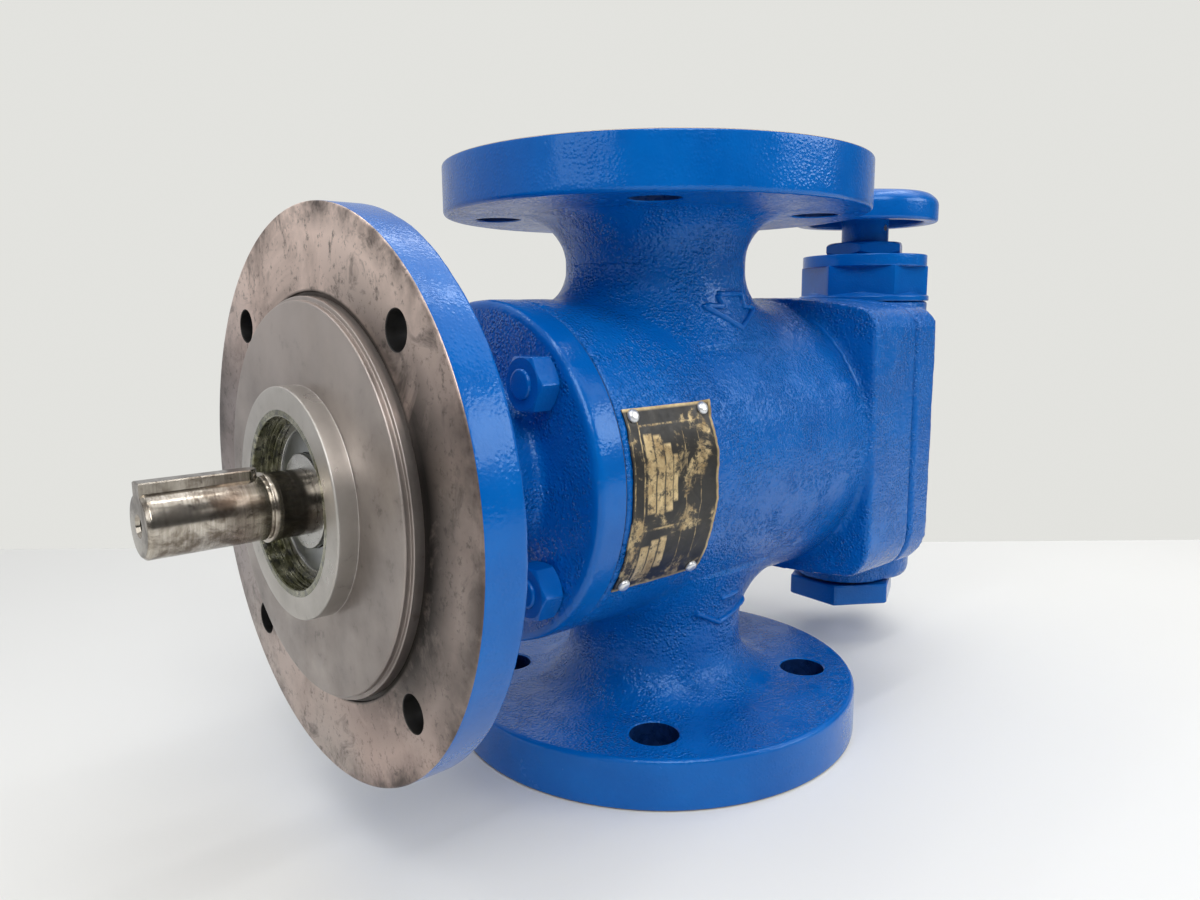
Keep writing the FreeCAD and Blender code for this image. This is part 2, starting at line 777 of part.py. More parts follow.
def power_screw():
    """The driving screw and its shaft in one piece."""
    shaft = turned_x(shaft_outline())
    screw = merged([power_thread(), shaft])
    slot_top = axis_z + shaft_end_diameter
    slot = key_shape(key_width + 2 * seat_clearance, slot_top, key_length + seat_clearance)
    centre_hole = cylinder_x(shaft_end, shaft_end + centre_hole_depth, centre_hole_diameter / 2)
    return screw.cut([slot, centre_hole])


def shaft_key():
    """The parallel key for the coupling."""
    top = axis_z + shaft_end_diameter / 2 - key_depth_in_shaft + key_height
    return key_shape(key_width, top, key_length)


def screw_housing():
    """The liner with its three running bores, the inlet slot and the seats for the idler bushes."""
    housing = cylinder_x(liner_front, block_rear, liner_radius - running_clearance)
    tools = [cylinder_x(liner_front, inlet_slot_end, crest_radius)]
    for y in (-idler_diameter, idler_diameter):
        tools.append(cylinder_x(liner_front, block_rear, pitch_radius, y))
    width = 2 * (idler_diameter + pitch_radius)
    slot = Part.makeBox(inlet_slot_length, width, liner_diameter, Vec(thread_end, -width / 2, axis_z))
    tools.append(slot)
    return housing.cut(tools)


def idler_bushes():
    """The closed thrust bushes that carry the idlers at the suction end, as one group."""
    bushes = []
    for y in (-idler_diameter, idler_diameter):
        bush = cylinder_x(bush_start, block_rear, pitch_radius - seat_clearance, y)
        bore_end = block_rear - idler_bush_floor
        bore = cylinder_x(bush_start, bore_end, idler_journal_diameter / 2 + running_clearance, y)
        bushes.append(bush.cut(bore))
    return Part.makeCompound(bushes)


def balance_bush():
    """The bush round the balance piston, seated in the front cover."""
    end = cover_back + cover_spigot_length
    return ring_x(bush_front, end, bush_diameter, balance_piston_diameter + 2 * running_clearance)


def ball_circle():
    """Diameter of the circle through the ball centres."""
    return (bearing_outer_land + bearing_inner_land) / 2


def race_groove():
    """The ring-shaped ball track that both bearing rings are cut with."""
    middle = (bearing_front + bearing_rear) / 2
    radius = bearing_ball_diameter / 2 + bearing_race_gap
    return Part.makeTorus(ball_circle() / 2, radius, Vec(middle, 0, axis_z), Vec(1, 0, 0))


def bearing_outer_ring():
    """The outer ring, pressed into the front cover."""
    ring = ring_x(bearing_front, bearing_rear, bearing_outer_diameter, bearing_outer_land)
    return ring.cut(race_groove())


def bearing_inner_ring():
    """The inner ring, on the shaft against its shoulder."""
    bore = shaft_seat_diameter + 2 * seat_clearance
    return ring_x(bearing_front, bearing_rear, bearing_inner_land, bore).cut(race_groove())


def ball_places():
    """Centres of the bearing balls."""
    middle = (bearing_front + bearing_rear) / 2
    for step in range(bearing_ball_count):
        angle = math.radians(step * full_turn / bearing_ball_count)
        radius = ball_circle() / 2
        yield Vec(middle, radius * math.cos(angle), axis_z + radius * math.sin(angle))


def bearing_balls():
    """The balls, as one group."""
    balls = [Part.makeSphere(bearing_ball_diameter / 2, place) for place in ball_places()]
    return Part.makeCompound(balls)


def bearing_cage():
    """The cage ring that keeps the balls apart."""
    middle = (bearing_front + bearing_rear) / 2
    cage = ring_x(middle - cage_width / 2, middle + cage_width / 2,
                  ball_circle() + cage_thickness, ball_circle() - cage_thickness)
    pocket = bearing_ball_diameter / 2 + cage_pocket_gap
    return cage.cut([Part.makeSphere(pocket, place) for place in ball_places()])


def bearing_shields():
    """The two grey shields that close the bearing, as one group."""
    outer = bearing_outer_land - 2 * seat_clearance
    inner = bearing_inner_land + 2 * shield_gap
    starts = (bearing_front + shield_inset, bearing_rear - shield_inset - shield_thickness)
    return Part.makeCompound([ring_x(start, start + shield_thickness, outer, inner) for start in starts])


def bearing_retaining_ring():
    """The open spring ring in front of the bearing's outer ring."""
    front = bearing_front - circlip_thickness - seat_clearance
    back = bearing_front - seat_clearance
    outer = bearing_outer_diameter + 2 * circlip_groove_depth - 4 * seat_clearance
    ring = ring_x(front, back, outer, outer - 2 * circlip_radial_width)
    corner = Vec(front, -circlip_opening / 2, axis_z - outer)
    gap = Part.makeBox(circlip_thickness, circlip_opening, outer, corner)
    return ring.cut(gap)


def shaft_retaining_ring():
    """The ring on the shaft in front of the bearing's inner ring."""
    back = bearing_front - seat_clearance
    bore = shaft_seat_diameter + 2 * seat_clearance
    return ring_x(back - shaft_ring_thickness, back, shaft_ring_diameter, bore)


def seal_seat():
    """The still ring of the shaft seal."""
    front = bearing_rear + seal_seat_front
    outer = seal_chamber_diameter - 2 * seat_clearance
    return ring_x(front, front + seal_seat_length, outer, seal_seat_bore)


def seal_face_ring():
    """The seal ring that turns with the shaft."""
    front = bearing_rear + seal_seat_front + seal_seat_length + seal_face_gap
    bore = shaft_seal_diameter + 2 * seat_clearance
    return ring_x(front, front + seal_ring_length, seal_ring_diameter, bore)


def seal_bellows():
    """The folded metal bellows that presses the turning ring to its seat."""
    front = bearing_rear + seal_seat_front + seal_seat_length + seal_face_gap + seal_ring_length
    outer = bellows_diameter / 2
    waist = (bellows_diameter + shaft_seal_diameter) / 4
    pitch = bellows_length / bellows_folds
    bore = shaft_seal_diameter / 2 + seat_clearance
    outline = [(front, bore), (front, waist)]
    for fold in range(bellows_folds):
        start = front + fold * pitch
        outline.append((start + pitch / 2, outer))
        outline.append((start + pitch, waist))
    outline.append((front + bellows_length, bore))
    return turned_x(outline)


def valve_seat():
    """The seat ring that the relief piston closes on."""
    ring = cylinder_z(seat_z, piston_bottom, valve_bore / 2, valve_x)
    bore = turned_z([(0, seat_z), (seat_bore / 2, seat_z),
                     (seat_bore / 2, piston_bottom - seat_flare),
                     (seat_bore / 2 + seat_flare, piston_bottom), (0, piston_bottom)], valve_x)
    return ring.cut(bore)


def valve_piston():
    """The relief piston with its cone, spring spigot and guide stem."""
    bottom = piston_bottom + seal_face_gap
    nose = seat_bore / 2 - seat_flare / 2
    top = bottom + piston_thickness
    spigot = top + spring_spigot_height
    stem_top = plate_bottom + stem_reach
    return turned_z([(0, bottom - seat_flare), (nose, bottom - seat_flare),
                     (seat_bore / 2 + seat_flare / 2, bottom), (piston_diameter / 2, bottom),
                     (piston_diameter / 2, top), (spring_spigot_diameter / 2, top),
                     (spring_spigot_diameter / 2, spigot), (piston_stem_diameter / 2, spigot),
                     (piston_stem_diameter / 2, stem_top), (0, stem_top)], valve_x)


def valve_spring():
    """The relief spring, a round wire coiled between the piston and its plate."""
    bottom = piston_bottom + seal_face_gap + piston_thickness + spring_end_gap + spring_wire / 2
    top = plate_bottom - spring_end_gap - spring_wire / 2
    radius = (spring_diameter - spring_wire) / 2
    pitch = (top - bottom) / spring_turns
    path = Part.Wire(Part.makeHelix(pitch, top - bottom, radius).Edges)
    direction = Vec(0, 2 * math.pi * radius, pitch)
    section = Part.Wire(Part.makeCircle(spring_wire / 2, Vec(radius, 0, 0), direction))
    spring = path.makePipeShell([section], True, True)
    spring.translate(Vec(valve_x, 0, bottom))
    return spring


def spring_plate():
    """The plate between the spring and the spindle."""
    top = plate_bottom + plate_thickness
    disc = cylinder_z(plate_bottom, top, plate_diameter / 2, valve_x)
    return disc.cut(cylinder_z(plate_bottom, top, spindle_socket_diameter / 2, valve_x))


def valve_spindle():
    """The adjusting spindle with its socket for the piston stem and its seat for the handwheel."""
    seat_top = hub_bottom + wheel_seat_length
    spindle = turned_z([(0, spindle_bottom), (spindle_diameter / 2, spindle_bottom),
                        (spindle_diameter / 2, hub_bottom), (wheel_seat_diameter / 2, hub_bottom),
                        (wheel_seat_diameter / 2, seat_top), (0, seat_top)], valve_x)
    socket_top = plate_bottom + stem_reach + spindle_travel
    socket = cylinder_z(spindle_bottom, socket_top, spindle_socket_diameter / 2, valve_x)
    return spindle.cut([socket, wheel_pin_bar(wheel_pin_diameter / 2 + seat_clearance)])


def valve_bonnet():
    """The hexagon bonnet that closes the valve body and carries the spindle."""
    spigot_bottom = bonnet_bottom - bonnet_spigot_length
    base = bonnet_base_diameter / 2
    base_edge = bonnet_bottom + bonnet_base_height / 2
    shapes = [cylinder_z(spigot_bottom, bonnet_bottom, valve_bore / 2 - running_clearance, valve_x)]
    shapes.append(turned_z([(0, bonnet_bottom), (base, bonnet_bottom), (base, base_edge),
                            (bonnet_across_flats / 2, bonnet_hex_bottom), (0, bonnet_hex_bottom)], valve_x))
    nut = hexagon(bonnet_across_flats, bonnet_ring_bottom - base_edge)
    nut.translate(Vec(valve_x, 0, base_edge))
    shapes.append(nut)
    ring = cylinder_z(bonnet_ring_bottom, bonnet_top, bonnet_ring_diameter / 2, valve_x)
    shapes.append(ring)
    bonnet = merged(shapes)
    tools = [cylinder_z(spigot_bottom, packing_bottom, spindle_diameter / 2 + running_clearance, valve_x)]
    tools.append(cylinder_z(packing_bottom, bonnet_top, packing_diameter / 2, valve_x))
    return bonnet.cut(tools)


def bonnet_seal_ring():
    """The soft ring under the bonnet."""
    inner = valve_bore + 2 * seat_clearance
    return ring_z(valve_top_z, bonnet_bottom, inner + 2 * bonnet_seal_width, inner, valve_x)


def spindle_packing():
    """The packing ring round the spindle."""
    inner = spindle_diameter + 2 * running_clearance
    outer = packing_diameter - 2 * seat_clearance
    return ring_z(packing_bottom, packing_bottom + packing_height, outer, inner, valve_x)


def gland_nut():
    """The hexagon gland nut that presses the packing."""
    nut = hexagon(gland_across_flats, gland_height, gland_turn)
    nut.translate(Vec(valve_x, 0, bonnet_top))
    thread_bottom = bonnet_top - gland_thread_length
    thread = cylinder_z(thread_bottom, bonnet_top, packing_diameter / 2 - seat_clearance, valve_x)
    bore = cylinder_z(thread_bottom, gland_top, spindle_diameter / 2 + gland_clearance, valve_x)
    return merged([nut, thread]).cut(bore)


def wheel_pin_bar(radius):
    """The cross pin through the handwheel's hub, along Y."""
    length = hub_diameter
    height = hub_bottom + wheel_seat_length / 2
    return Part.makeCylinder(radius, length, Vec(valve_x, -length / 2, height), Vec(0, 1, 0))


def handwheel():
    """The dished handwheel with its hub."""
    rim = wheel_diameter / 2
    inner = rim - wheel_rim_width
    break_size = wheel_rim_rounding
    web_bottom = rim_top - wheel_web_thickness
    hub = hub_diameter / 2
    shoulder_middle = round_middle * wheel_shoulder
    wheel = turned_z([
        (0, hub_bottom),
        (hub, hub_bottom),
        (hub, web_bottom - break_size),
        (hub + break_size, web_bottom),
        (inner - break_size, web_bottom),
        (inner, web_bottom - break_size),
        (inner, rim_bottom + break_size),
        (inner + break_size, rim_bottom),
        (rim - break_size, rim_bottom),
        (rim, rim_bottom + break_size),
        (rim, rim_top - wheel_shoulder),
        (rim - shoulder_middle, rim_top - shoulder_middle),
        (rim - wheel_shoulder, rim_top),
        (hub, rim_top + wheel_crown),
        (0, rim_top + wheel_crown),
    ], valve_x)
    socket_radius = wheel_seat_diameter / 2 + seat_clearance
    socket = cylinder_z(hub_bottom, hub_bottom + wheel_seat_length, socket_radius, valve_x)
    return wheel.cut([socket, wheel_pin_bar(wheel_pin_diameter / 2 + seat_clearance)])


def bottom_plug():
    """The large hexagon plug under the valve body."""
    head = hexagon(plug_across_flats, plug_height, plug_turn)
    head.translate(Vec(plug_x, 0, plug_bottom))
    thread_top = valve_foot_z + plug_thread_length - plug_end_gap
    return merged([head, cylinder_z(plug_top, thread_top, plug_thread_diameter / 2, plug_x)])


def plug_seal_ring():
    """The flat ring between the plug and the valve body."""
    inner = plug_thread_diameter + 2 * seat_clearance
    return ring_z(plug_top, valve_foot_z, inner + 2 * plug_seal_width, inner, plug_x)


def rivet_places():
    """Foot points and outward directions of the rivets, near the name plate's corners."""
    start = casing_front + plate_start
    for x in (start + rivet_inset, start + plate_length - rivet_inset):
        for angle in (plate_top_angle - rivet_angle_inset, plate_bottom_angle + rivet_angle_inset):
            turn = math.radians(angle)
            out = Vec(0, -math.cos(turn), math.sin(turn))
            yield Vec(x, 0, axis_z) + out * (plate_outer + name_plate_gap - rivet_length), out


def rivet_shanks(radius):
    """Plain shanks at the rivet places, for the rivets and for their holes."""
    return [Part.makeCylinder(radius, rivet_length, foot, out) for foot, out in rivet_places()]


def name_plate():
    """The curved name plate on the -Y side of the casing."""
    start = casing_front + plate_start
    end = start + plate_length
    tube = cylinder_x(start, end, plate_outer).cut(cylinder_x(start, end, casing_radius + name_plate_gap))
    sector = wedge_x(start, end, 180 - plate_top_angle, 180 - plate_bottom_angle)
    return tube.common(sector).cut(rivet_shanks(rivet_diameter / 2 + seat_clearance))


def plate_rivets():
    """The rivets of the name plate, as one group."""
    rivets = []
    head = rivet_head_diameter / 2
    for (foot, out), shank in zip(rivet_places(), rivet_shanks(rivet_diameter / 2)):
        cone = Part.makeCone(head, head / 2, rivet_head_height, foot + out * rivet_length, out)
        rivets.append(merged([shank, cone]))
    return Part.makeCompound(rivets)


pieces = {
    "pump_casing": pump_casing,
    "front_cover": front_cover,
    "front_gasket": front_gasket,
    "cover_studs": cover_studs,
    "cover_nuts": cover_nuts,
    "rear_cover": rear_cover,
    "rear_gasket": rear_gasket,
    "rear_cover_screws": rear_cover_screws,
    "screw_housing": screw_housing,
    "power_screw": power_screw,
    "shaft_key": shaft_key,
    "balance_bush": balance_bush,
    "idler_bushes": idler_bushes,
    "bearing_outer_ring": bearing_outer_ring,
    "bearing_inner_ring": bearing_inner_ring,
    "bearing_balls": bearing_balls,
    "bearing_cage": bearing_cage,
    "bearing_shields": bearing_shields,
    "bearing_retaining_ring": bearing_retaining_ring,
    "shaft_retaining_ring": shaft_retaining_ring,
    "seal_seat": seal_seat,
    "seal_face_ring": seal_face_ring,
    "seal_bellows": seal_bellows,
    "valve_seat": valve_seat,
    "valve_piston": valve_piston,
    "valve_spring": valve_spring,
    "spring_plate": spring_plate,
    "valve_spindle": valve_spindle,
    "valve_bonnet": valve_bonnet,
    "bonnet_seal_ring": bonnet_seal_ring,
    "spindle_packing": spindle_packing,
    "gland_nut": gland_nut,
    "handwheel": handwheel,
    "bottom_plug": bottom_plug,
    "plug_seal_ring": plug_seal_ring,
    "name_plate": name_plate,
    "plate_rivets": plate_rivets,
}

os.makedirs("parts", exist_ok=True)
for piece_name, build in pieces.items():
    save(piece_name, build())
save("idler_screw_left", idler_screw(-idler_diameter))
save("idler_screw_right", idler_screw(idler_diameter))
handwheel_pin = wheel_pin_bar(wheel_pin_diameter / 2)
save("handwheel_pin", handwheel_pin)
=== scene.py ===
import bmesh
import bpy
import json
import math

import numpy as np
from mathutils import Matrix, Vector, noise
from mathutils.bvhtree import BVHTree


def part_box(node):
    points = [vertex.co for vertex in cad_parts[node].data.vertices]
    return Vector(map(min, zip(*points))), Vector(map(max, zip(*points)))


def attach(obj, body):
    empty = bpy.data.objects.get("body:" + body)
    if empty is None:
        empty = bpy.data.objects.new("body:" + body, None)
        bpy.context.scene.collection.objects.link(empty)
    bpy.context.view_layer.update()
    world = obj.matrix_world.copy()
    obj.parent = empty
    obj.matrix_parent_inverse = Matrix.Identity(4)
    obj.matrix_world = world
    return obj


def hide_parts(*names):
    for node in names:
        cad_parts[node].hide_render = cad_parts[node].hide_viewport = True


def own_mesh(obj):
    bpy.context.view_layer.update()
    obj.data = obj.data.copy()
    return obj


# The looks of a triple screw pump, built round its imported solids. Lengths are in millimetres unless a
# line multiplies by MM or stands in a material or the stage, where they are in metres.

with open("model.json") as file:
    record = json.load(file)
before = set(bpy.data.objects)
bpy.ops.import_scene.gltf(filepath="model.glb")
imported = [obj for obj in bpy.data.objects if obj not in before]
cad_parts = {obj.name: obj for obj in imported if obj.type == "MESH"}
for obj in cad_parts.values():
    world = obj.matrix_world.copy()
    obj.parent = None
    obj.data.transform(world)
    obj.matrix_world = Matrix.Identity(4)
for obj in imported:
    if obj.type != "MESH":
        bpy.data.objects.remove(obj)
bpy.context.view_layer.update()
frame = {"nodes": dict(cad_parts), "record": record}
MM = 0.001
TAU = 2 * math.pi

# Places and sizes of the pump
AXIS_Z = 112.5
UPPER_FACE = 222.7
PORT_RADIUS = 82.5
PORT_BORE = 25.0
PORT_THICKNESS = 18.5
PORT_BOLT_CIRCLE = 125.0
NECK_RADIUS = 35.5
NECK_FLARE = 18.0
NECK_FILLET = 15.0
BARREL_RADIUS = 60.0
CASING_FRONT = -71.2
CASING_REAR = 93.4
DISC_FRONT, DISC_BACK, DISC_RADIUS = -144.0, -130.4, 87.98
DISC_BOLT_CIRCLE = 146.0
STUD_CIRCLE = 95.2
NUT_FLATS = 17.0
VALVE = (150.0, 0.0, 0.0)
PLUG = (140.0, 0.0, 0.0)
KEY_END = -165.9
SHAFT_END = -194.9
THREADS_START = -60.1

# Angles in degrees: a wider bend than this between two faces is drawn as a sharp edge
SHARP = 32.0
ALL_SMOOTH = 180.0

# Strength of the light that comes from the wall behind, from above, and from everywhere
WALL_LIGHT = 0.52
CEILING_LIGHT = 0.08
ROOM_LIGHT = 0.04


# Materials

class Graph:
    """A material's node tree with short calls for the nodes that this scene needs."""

    SOCKETS = {"rough": "Roughness", "metal": "Metallic", "coat": "Coat Weight", "colour": "Base Color",
               "coat_rough": "Coat Roughness", "specular": "Specular IOR Level", "tint": "Specular Tint",
               "grooved": "Anisotropic"}

    def __init__(self, name):
        self.material = bpy.data.materials.new(name)
        self.material.use_nodes = True
        self.tree = self.material.node_tree
        self.tree.nodes.clear()
        self.out = self.tree.nodes.new("ShaderNodeOutputMaterial")
        self.shader = self.tree.nodes.new("ShaderNodeBsdfPrincipled")
        self.tree.links.new(self.shader.outputs[0], self.out.inputs[0])
        self.place = self.tree.nodes.new("ShaderNodeTexCoord").outputs["Object"]

    def node(self, kind, inputs=(), **values):
        """A new node, with plain values in its named inputs and in its own settings."""
        made = self.tree.nodes.new("ShaderNode" + kind)
        for key, value in values.items():
            setattr(made, key, value)
        for key, value in dict(inputs).items():
            made.inputs[key].default_value = value
        return made

    def link(self, source, target):
        self.tree.links.new(source, target)

    def feed(self, socket, value):
        if hasattr(value, "is_output"):
            self.link(value, socket)
        else:
            socket.default_value = value

    def shine(self, **values):
        """Plain values or sockets for the shader's own inputs."""
        for key, value in values.items():
            full = (*value, 1.0) if isinstance(value, tuple) else value
            self.feed(self.shader.inputs[self.SOCKETS[key]], full)

    def noise(self, scale, detail=4.0, rough=0.55, place=None, distort=0.0):
        made = self.node("TexNoise", {"Scale": scale, "Detail": detail, "Roughness": rough, "Distortion": distort})
        self.link(place or self.place, made.inputs["Vector"])
        return made.outputs["Fac"]

    def cells(self, scale):
        made = self.node("TexVoronoi", {"Scale": scale}, feature="F1")
        self.link(self.place, made.inputs["Vector"])
        return made.outputs["Distance"]

    def steps(self, value, low, high, to_low=0.0, to_high=1.0):
        made = self.node("MapRange", {"From Min": low, "From Max": high, "To Min": to_low, "To Max": to_high})
        self.link(value, made.inputs["Value"])
        return made.outputs["Result"]

    def maths(self, operation, a, b=0.0):
        made = self.node("Math", operation=operation)
        self.feed(made.inputs[0], a)
        self.feed(made.inputs[1], b)
        return made.outputs[0]

    def times(self, a, b):
        return self.maths("MULTIPLY", a, b)

    def most(self, a, b):
        return self.maths("MAXIMUM", a, b)

    def parts(self, vector):
        """The three numbers of a vector, as sockets."""
        made = self.node("SeparateXYZ")
        self.link(vector, made.inputs[0])
        return made.outputs

    def blend(self, share, a, b):
        made = self.node("Mix", data_type="RGBA", blend_type="MIX")
        self.feed(made.inputs[0], share)
        for socket, value in ((made.inputs[6], a), (made.inputs[7], b)):
            self.feed(socket, value if hasattr(value, "is_output") else (*value, 1.0))
        return made.outputs[2]

    def scaled(self, x, y, z):
        made = self.node("Mapping", {"Scale": (x, y, z)})
        self.link(self.place, made.inputs["Vector"])
        return made.outputs[0]

    def bump(self, height, strength, distance_mm, under=None):
        made = self.node("Bump", {"Strength": strength, "Distance": distance_mm * MM})
        self.link(height, made.inputs["Height"])
        if under is not None:
            self.link(under, made.inputs["Normal"])
        self.link(made.outputs[0], self.shader.inputs["Normal"])
        return made.outputs[0]


def grooves_about_x(g, share):
    """Reflections drawn out across lathe grooves that run round an axis along X."""
    g.shine(grooved=share)
    g.link(g.node("Tangent", direction_type="RADIAL", axis="X").outputs[0], g.shader.inputs["Tangent"])


def radius_from_axis(g):
    """Distance from the shaft's axis, in metres, as a socket."""
    _, across, height = g.parts(g.place)
    z = g.maths("SUBTRACT", height, AXIS_Z * MM)
    return g.maths("SQRT", g.maths("ADD", g.times(across, across), g.times(z, z)))


def blue_paint(name, cast):
    """Thick glossy blue paint; cast is how much of the rough sand-cast skin shows through."""
    g = Graph(name)
    cloud = g.noise(28, 5, 0.6)
    colour = g.blend(g.steps(cloud, 0.35, 0.7), (0.0002, 0.098, 0.41), (0.0006, 0.134, 0.51))
    fine = g.noise(900, 3, 0.6)
    colour = g.blend(g.steps(fine, 0.62, 0.8, 0.0, 0.30 * cast), colour, (0.003, 0.17, 0.54))
    specks = g.cells(140)
    colour = g.blend(g.steps(specks, 0.035, 0.07, 0.6 * cast, 0.0), colour, (0.0006, 0.02, 0.12))
    g.shine(colour=colour, rough=g.steps(g.noise(60, 4, 0.6), 0.3, 0.75, 0.13, 0.30), specular=0.5,
            tint=(0.35, 0.66, 1.0), coat=0.19, coat_rough=0.05)
    peel = g.bump(g.noise(650, 3, 0.55), 0.30 + 0.50 * cast, 0.08 + 0.36 * cast)
    patches = g.steps(g.noise(75, 3), 0.34, 0.60)
    grains = g.times(g.steps(g.cells(850), 0.0, 0.6, 1.0, 0.0), patches)
    lumps = g.bump(grains, 0.95 * cast, 0.60, peel)
    rough_skin = g.bump(g.steps(g.cells(330), 0.0, 0.22, 0.0, 1.0), 0.75 * cast, 0.30, lumps)
    g.link(rough_skin, g.shader.inputs["Coat Normal"])
    return g.material


def disc_metal():
    """The mounting disc's bare face: turned steel-grey iron with pinkish brown and dark stains, a painted
    highlight over its top, painted shade at the middle height on both sides, and a near-black ring at the pilot's
    foot.
    """
    g = Graph("disc_bare_face")
    radius = radius_from_axis(g)
    _, across, height = g.parts(g.place)
    right_side = g.steps(across, -0.062, 0.0, 1.0, 0.0)
    above = g.steps(height, 0.14, 0.19)
    middle = g.times(g.steps(height, 0.04, 0.075), g.steps(height, 0.14, 0.175, 1.0, 0.0))
    cloud = g.noise(22, 6, 0.62, distort=0.6)
    tint = g.noise(9, 3, 0.5)
    colour = g.blend(g.steps(tint, 0.38, 0.62), (0.52, 0.40, 0.355), (0.43, 0.39, 0.355))
    # Painted highlight: the top of the face blends towards a light warm tone.
    colour = g.blend(g.times(above, 0.92), colour, (1.0, 0.80, 0.70))
    # Painted shade: the middle height on the +Y side is darkened.
    painted_shade_left = g.times(g.steps(across, 0.02, 0.07), middle)
    colour = g.blend(g.times(painted_shade_left, 0.6), colour, (0.20, 0.175, 0.185))
    # Painted shade: the middle height on the -Y side is darkened, broken up by the cloud.
    shade_side = g.times(g.times(right_side, middle), g.steps(cloud, 0.25, 0.6, 0.55, 1.0))
    colour = g.blend(g.times(shade_side, 0.85), colour, (0.12, 0.098, 0.088))
    colour = g.blend(g.steps(cloud, 0.50, 0.72, 0.0, 0.7), colour, (0.16, 0.125, 0.11))
    blots = g.steps(g.noise(70, 5, 0.7, distort=1.0), 0.55, 0.69, 0.0, 0.7)
    colour = g.blend(blots, colour, (0.08, 0.065, 0.06))
    colour = g.blend(g.steps(g.noise(420, 4, 0.7), 0.56, 0.68, 0.0, 0.6), colour, (0.06, 0.05, 0.045))
    edge = g.times(g.steps(radius, 0.079, 0.0868), g.steps(g.noise(45, 5, 0.7), 0.42, 0.62))
    colour = g.blend(g.times(edge, 0.8), colour, (0.07, 0.055, 0.05))
    # Near-black patches over the inner ring on the -Y side: partly stains, partly painted shade.
    wear_and_shade_patches = g.steps(g.noise(38, 5, 0.7, distort=0.5), 0.34, 0.48, 0.2, 1.0)
    stain_and_shade = g.times(g.steps(radius, 0.0650, 0.0785, 1.0, 0.0), g.times(wear_and_shade_patches, right_side))
    colour = g.blend(stain_and_shade, colour, (0.006, 0.005, 0.0045))
    groove = g.steps(radius, 0.0624, 0.0632, 1.0, 0.0)
    colour = g.blend(g.times(groove, 0.9), colour, (0.02, 0.017, 0.015))
    g.shine(colour=colour, metal=0.85, rough=g.steps(cloud, 0.3, 0.7, 0.28, 0.46), specular=0.25)
    grooves_about_x(g, 0.75)
    rings = turning_marks(g, radius, 2600)
    first = g.bump(rings, 0.18, 0.05)
    g.bump(g.noise(800, 3), 0.25, 0.06, first)
    return g.material


def turning_marks(g, radius, per_metre):
    """Fine uneven rings from the lathe, as a height."""
    ring = g.maths("SINE", g.times(radius, per_metre * TAU))
    made = g.node("CombineXYZ")
    g.link(g.times(radius, 1400.0), made.inputs[0])
    uneven = g.noise(1.0, 4, 0.7, place=made.outputs[0])
    return g.maths("ADD", g.times(ring, 0.25), uneven)


def turned_iron(name, light, dark, rough):
    """Machined grey iron with lathe rings and faint stains, a painted highlight over its top and painted shade low
    on its -Y side.
    """
    g = Graph(name)
    radius = radius_from_axis(g)
    _, across, height = g.parts(g.place)
    cloud = g.noise(40, 5, 0.6)
    colour = g.blend(g.steps(cloud, 0.38, 0.68), light, dark)
    spots = g.steps(g.noise(160, 4, 0.7), 0.60, 0.74, 0.0, 0.55)
    colour = g.blend(spots, colour, tuple(c * 0.35 for c in dark))
    # Painted highlight: the top blends towards a lighter copy of the light tone.
    colour = g.blend(g.steps(height, 0.12, 0.17, 0.0, 0.7), colour, tuple(c * 1.45 for c in light))
    # Painted shade: the low part of the -Y side is darkened.
    painted_shade_low_side = g.times(g.steps(height, 0.06, 0.12, 1.0, 0.0), g.steps(across, -0.05, 0.0, 1.0, 0.0))
    colour = g.blend(g.times(painted_shade_low_side, 0.75), colour, dark)
    g.shine(colour=colour, metal=0.8, specular=0.3,
            rough=g.steps(g.noise(90, 3), 0.3, 0.7, rough - 0.06, rough + 0.08))
    grooves_about_x(g, 0.7)
    first = g.bump(turning_marks(g, radius, 2200), 0.22, 0.05)
    g.bump(g.noise(600, 3), 0.18, 0.05, first)
    return g.material


def shaft_metal(name, dark_share):
    """Bright shaft steel with brown oil spots; dark_share adds the dark oily film."""
    g = Graph(name)
    along = g.scaled(1800, 30, 30)
    lines = g.noise(1.0, 3, 0.6, place=along)
    blotch = g.noise(95, 5, 0.65, distort=0.4)
    colour = g.blend(g.steps(lines, 0.3, 0.7), (0.58, 0.535, 0.47), (0.37, 0.33, 0.275))
    colour = g.blend(g.steps(blotch, 0.50, 0.62, 0.0, 0.8), colour, (0.12, 0.088, 0.062))
    colour = g.blend(g.steps(g.noise(300, 4, 0.7), 0.60, 0.70, 0.0, 0.7), colour, (0.06, 0.045, 0.035))
    if dark_share > 0:
        film = g.steps(g.noise(60, 4, 0.6), 0.35, 0.6, dark_share, dark_share * 0.55)
        colour = g.blend(film, colour, (0.05, 0.042, 0.036))
    g.shine(colour=colour, metal=0.95, rough=g.steps(blotch, 0.3, 0.7, 0.12, 0.26))
    first = g.bump(lines, 0.10, 0.04)
    g.bump(g.noise(500, 3), 0.12, 0.05, first)
    return g.material


def oily_metal():
    """Dark metal under greenish oil, for the bore in the boss."""
    g = Graph("oily_bore")
    cloud = g.noise(120, 5, 0.65, distort=0.8)
    colour = g.blend(g.steps(cloud, 0.42, 0.62), (0.10, 0.10, 0.035), (0.30, 0.29, 0.20))
    colour = g.blend(g.steps(g.noise(420, 4, 0.7), 0.48, 0.60, 0.0, 0.9), colour, (0.010, 0.010, 0.006))
    g.shine(colour=colour, metal=0.7, rough=g.steps(cloud, 0.3, 0.7, 0.12, 0.32), coat=0.6, coat_rough=0.08)
    g.bump(g.noise(700, 3), 0.5, 0.12)
    return g.material


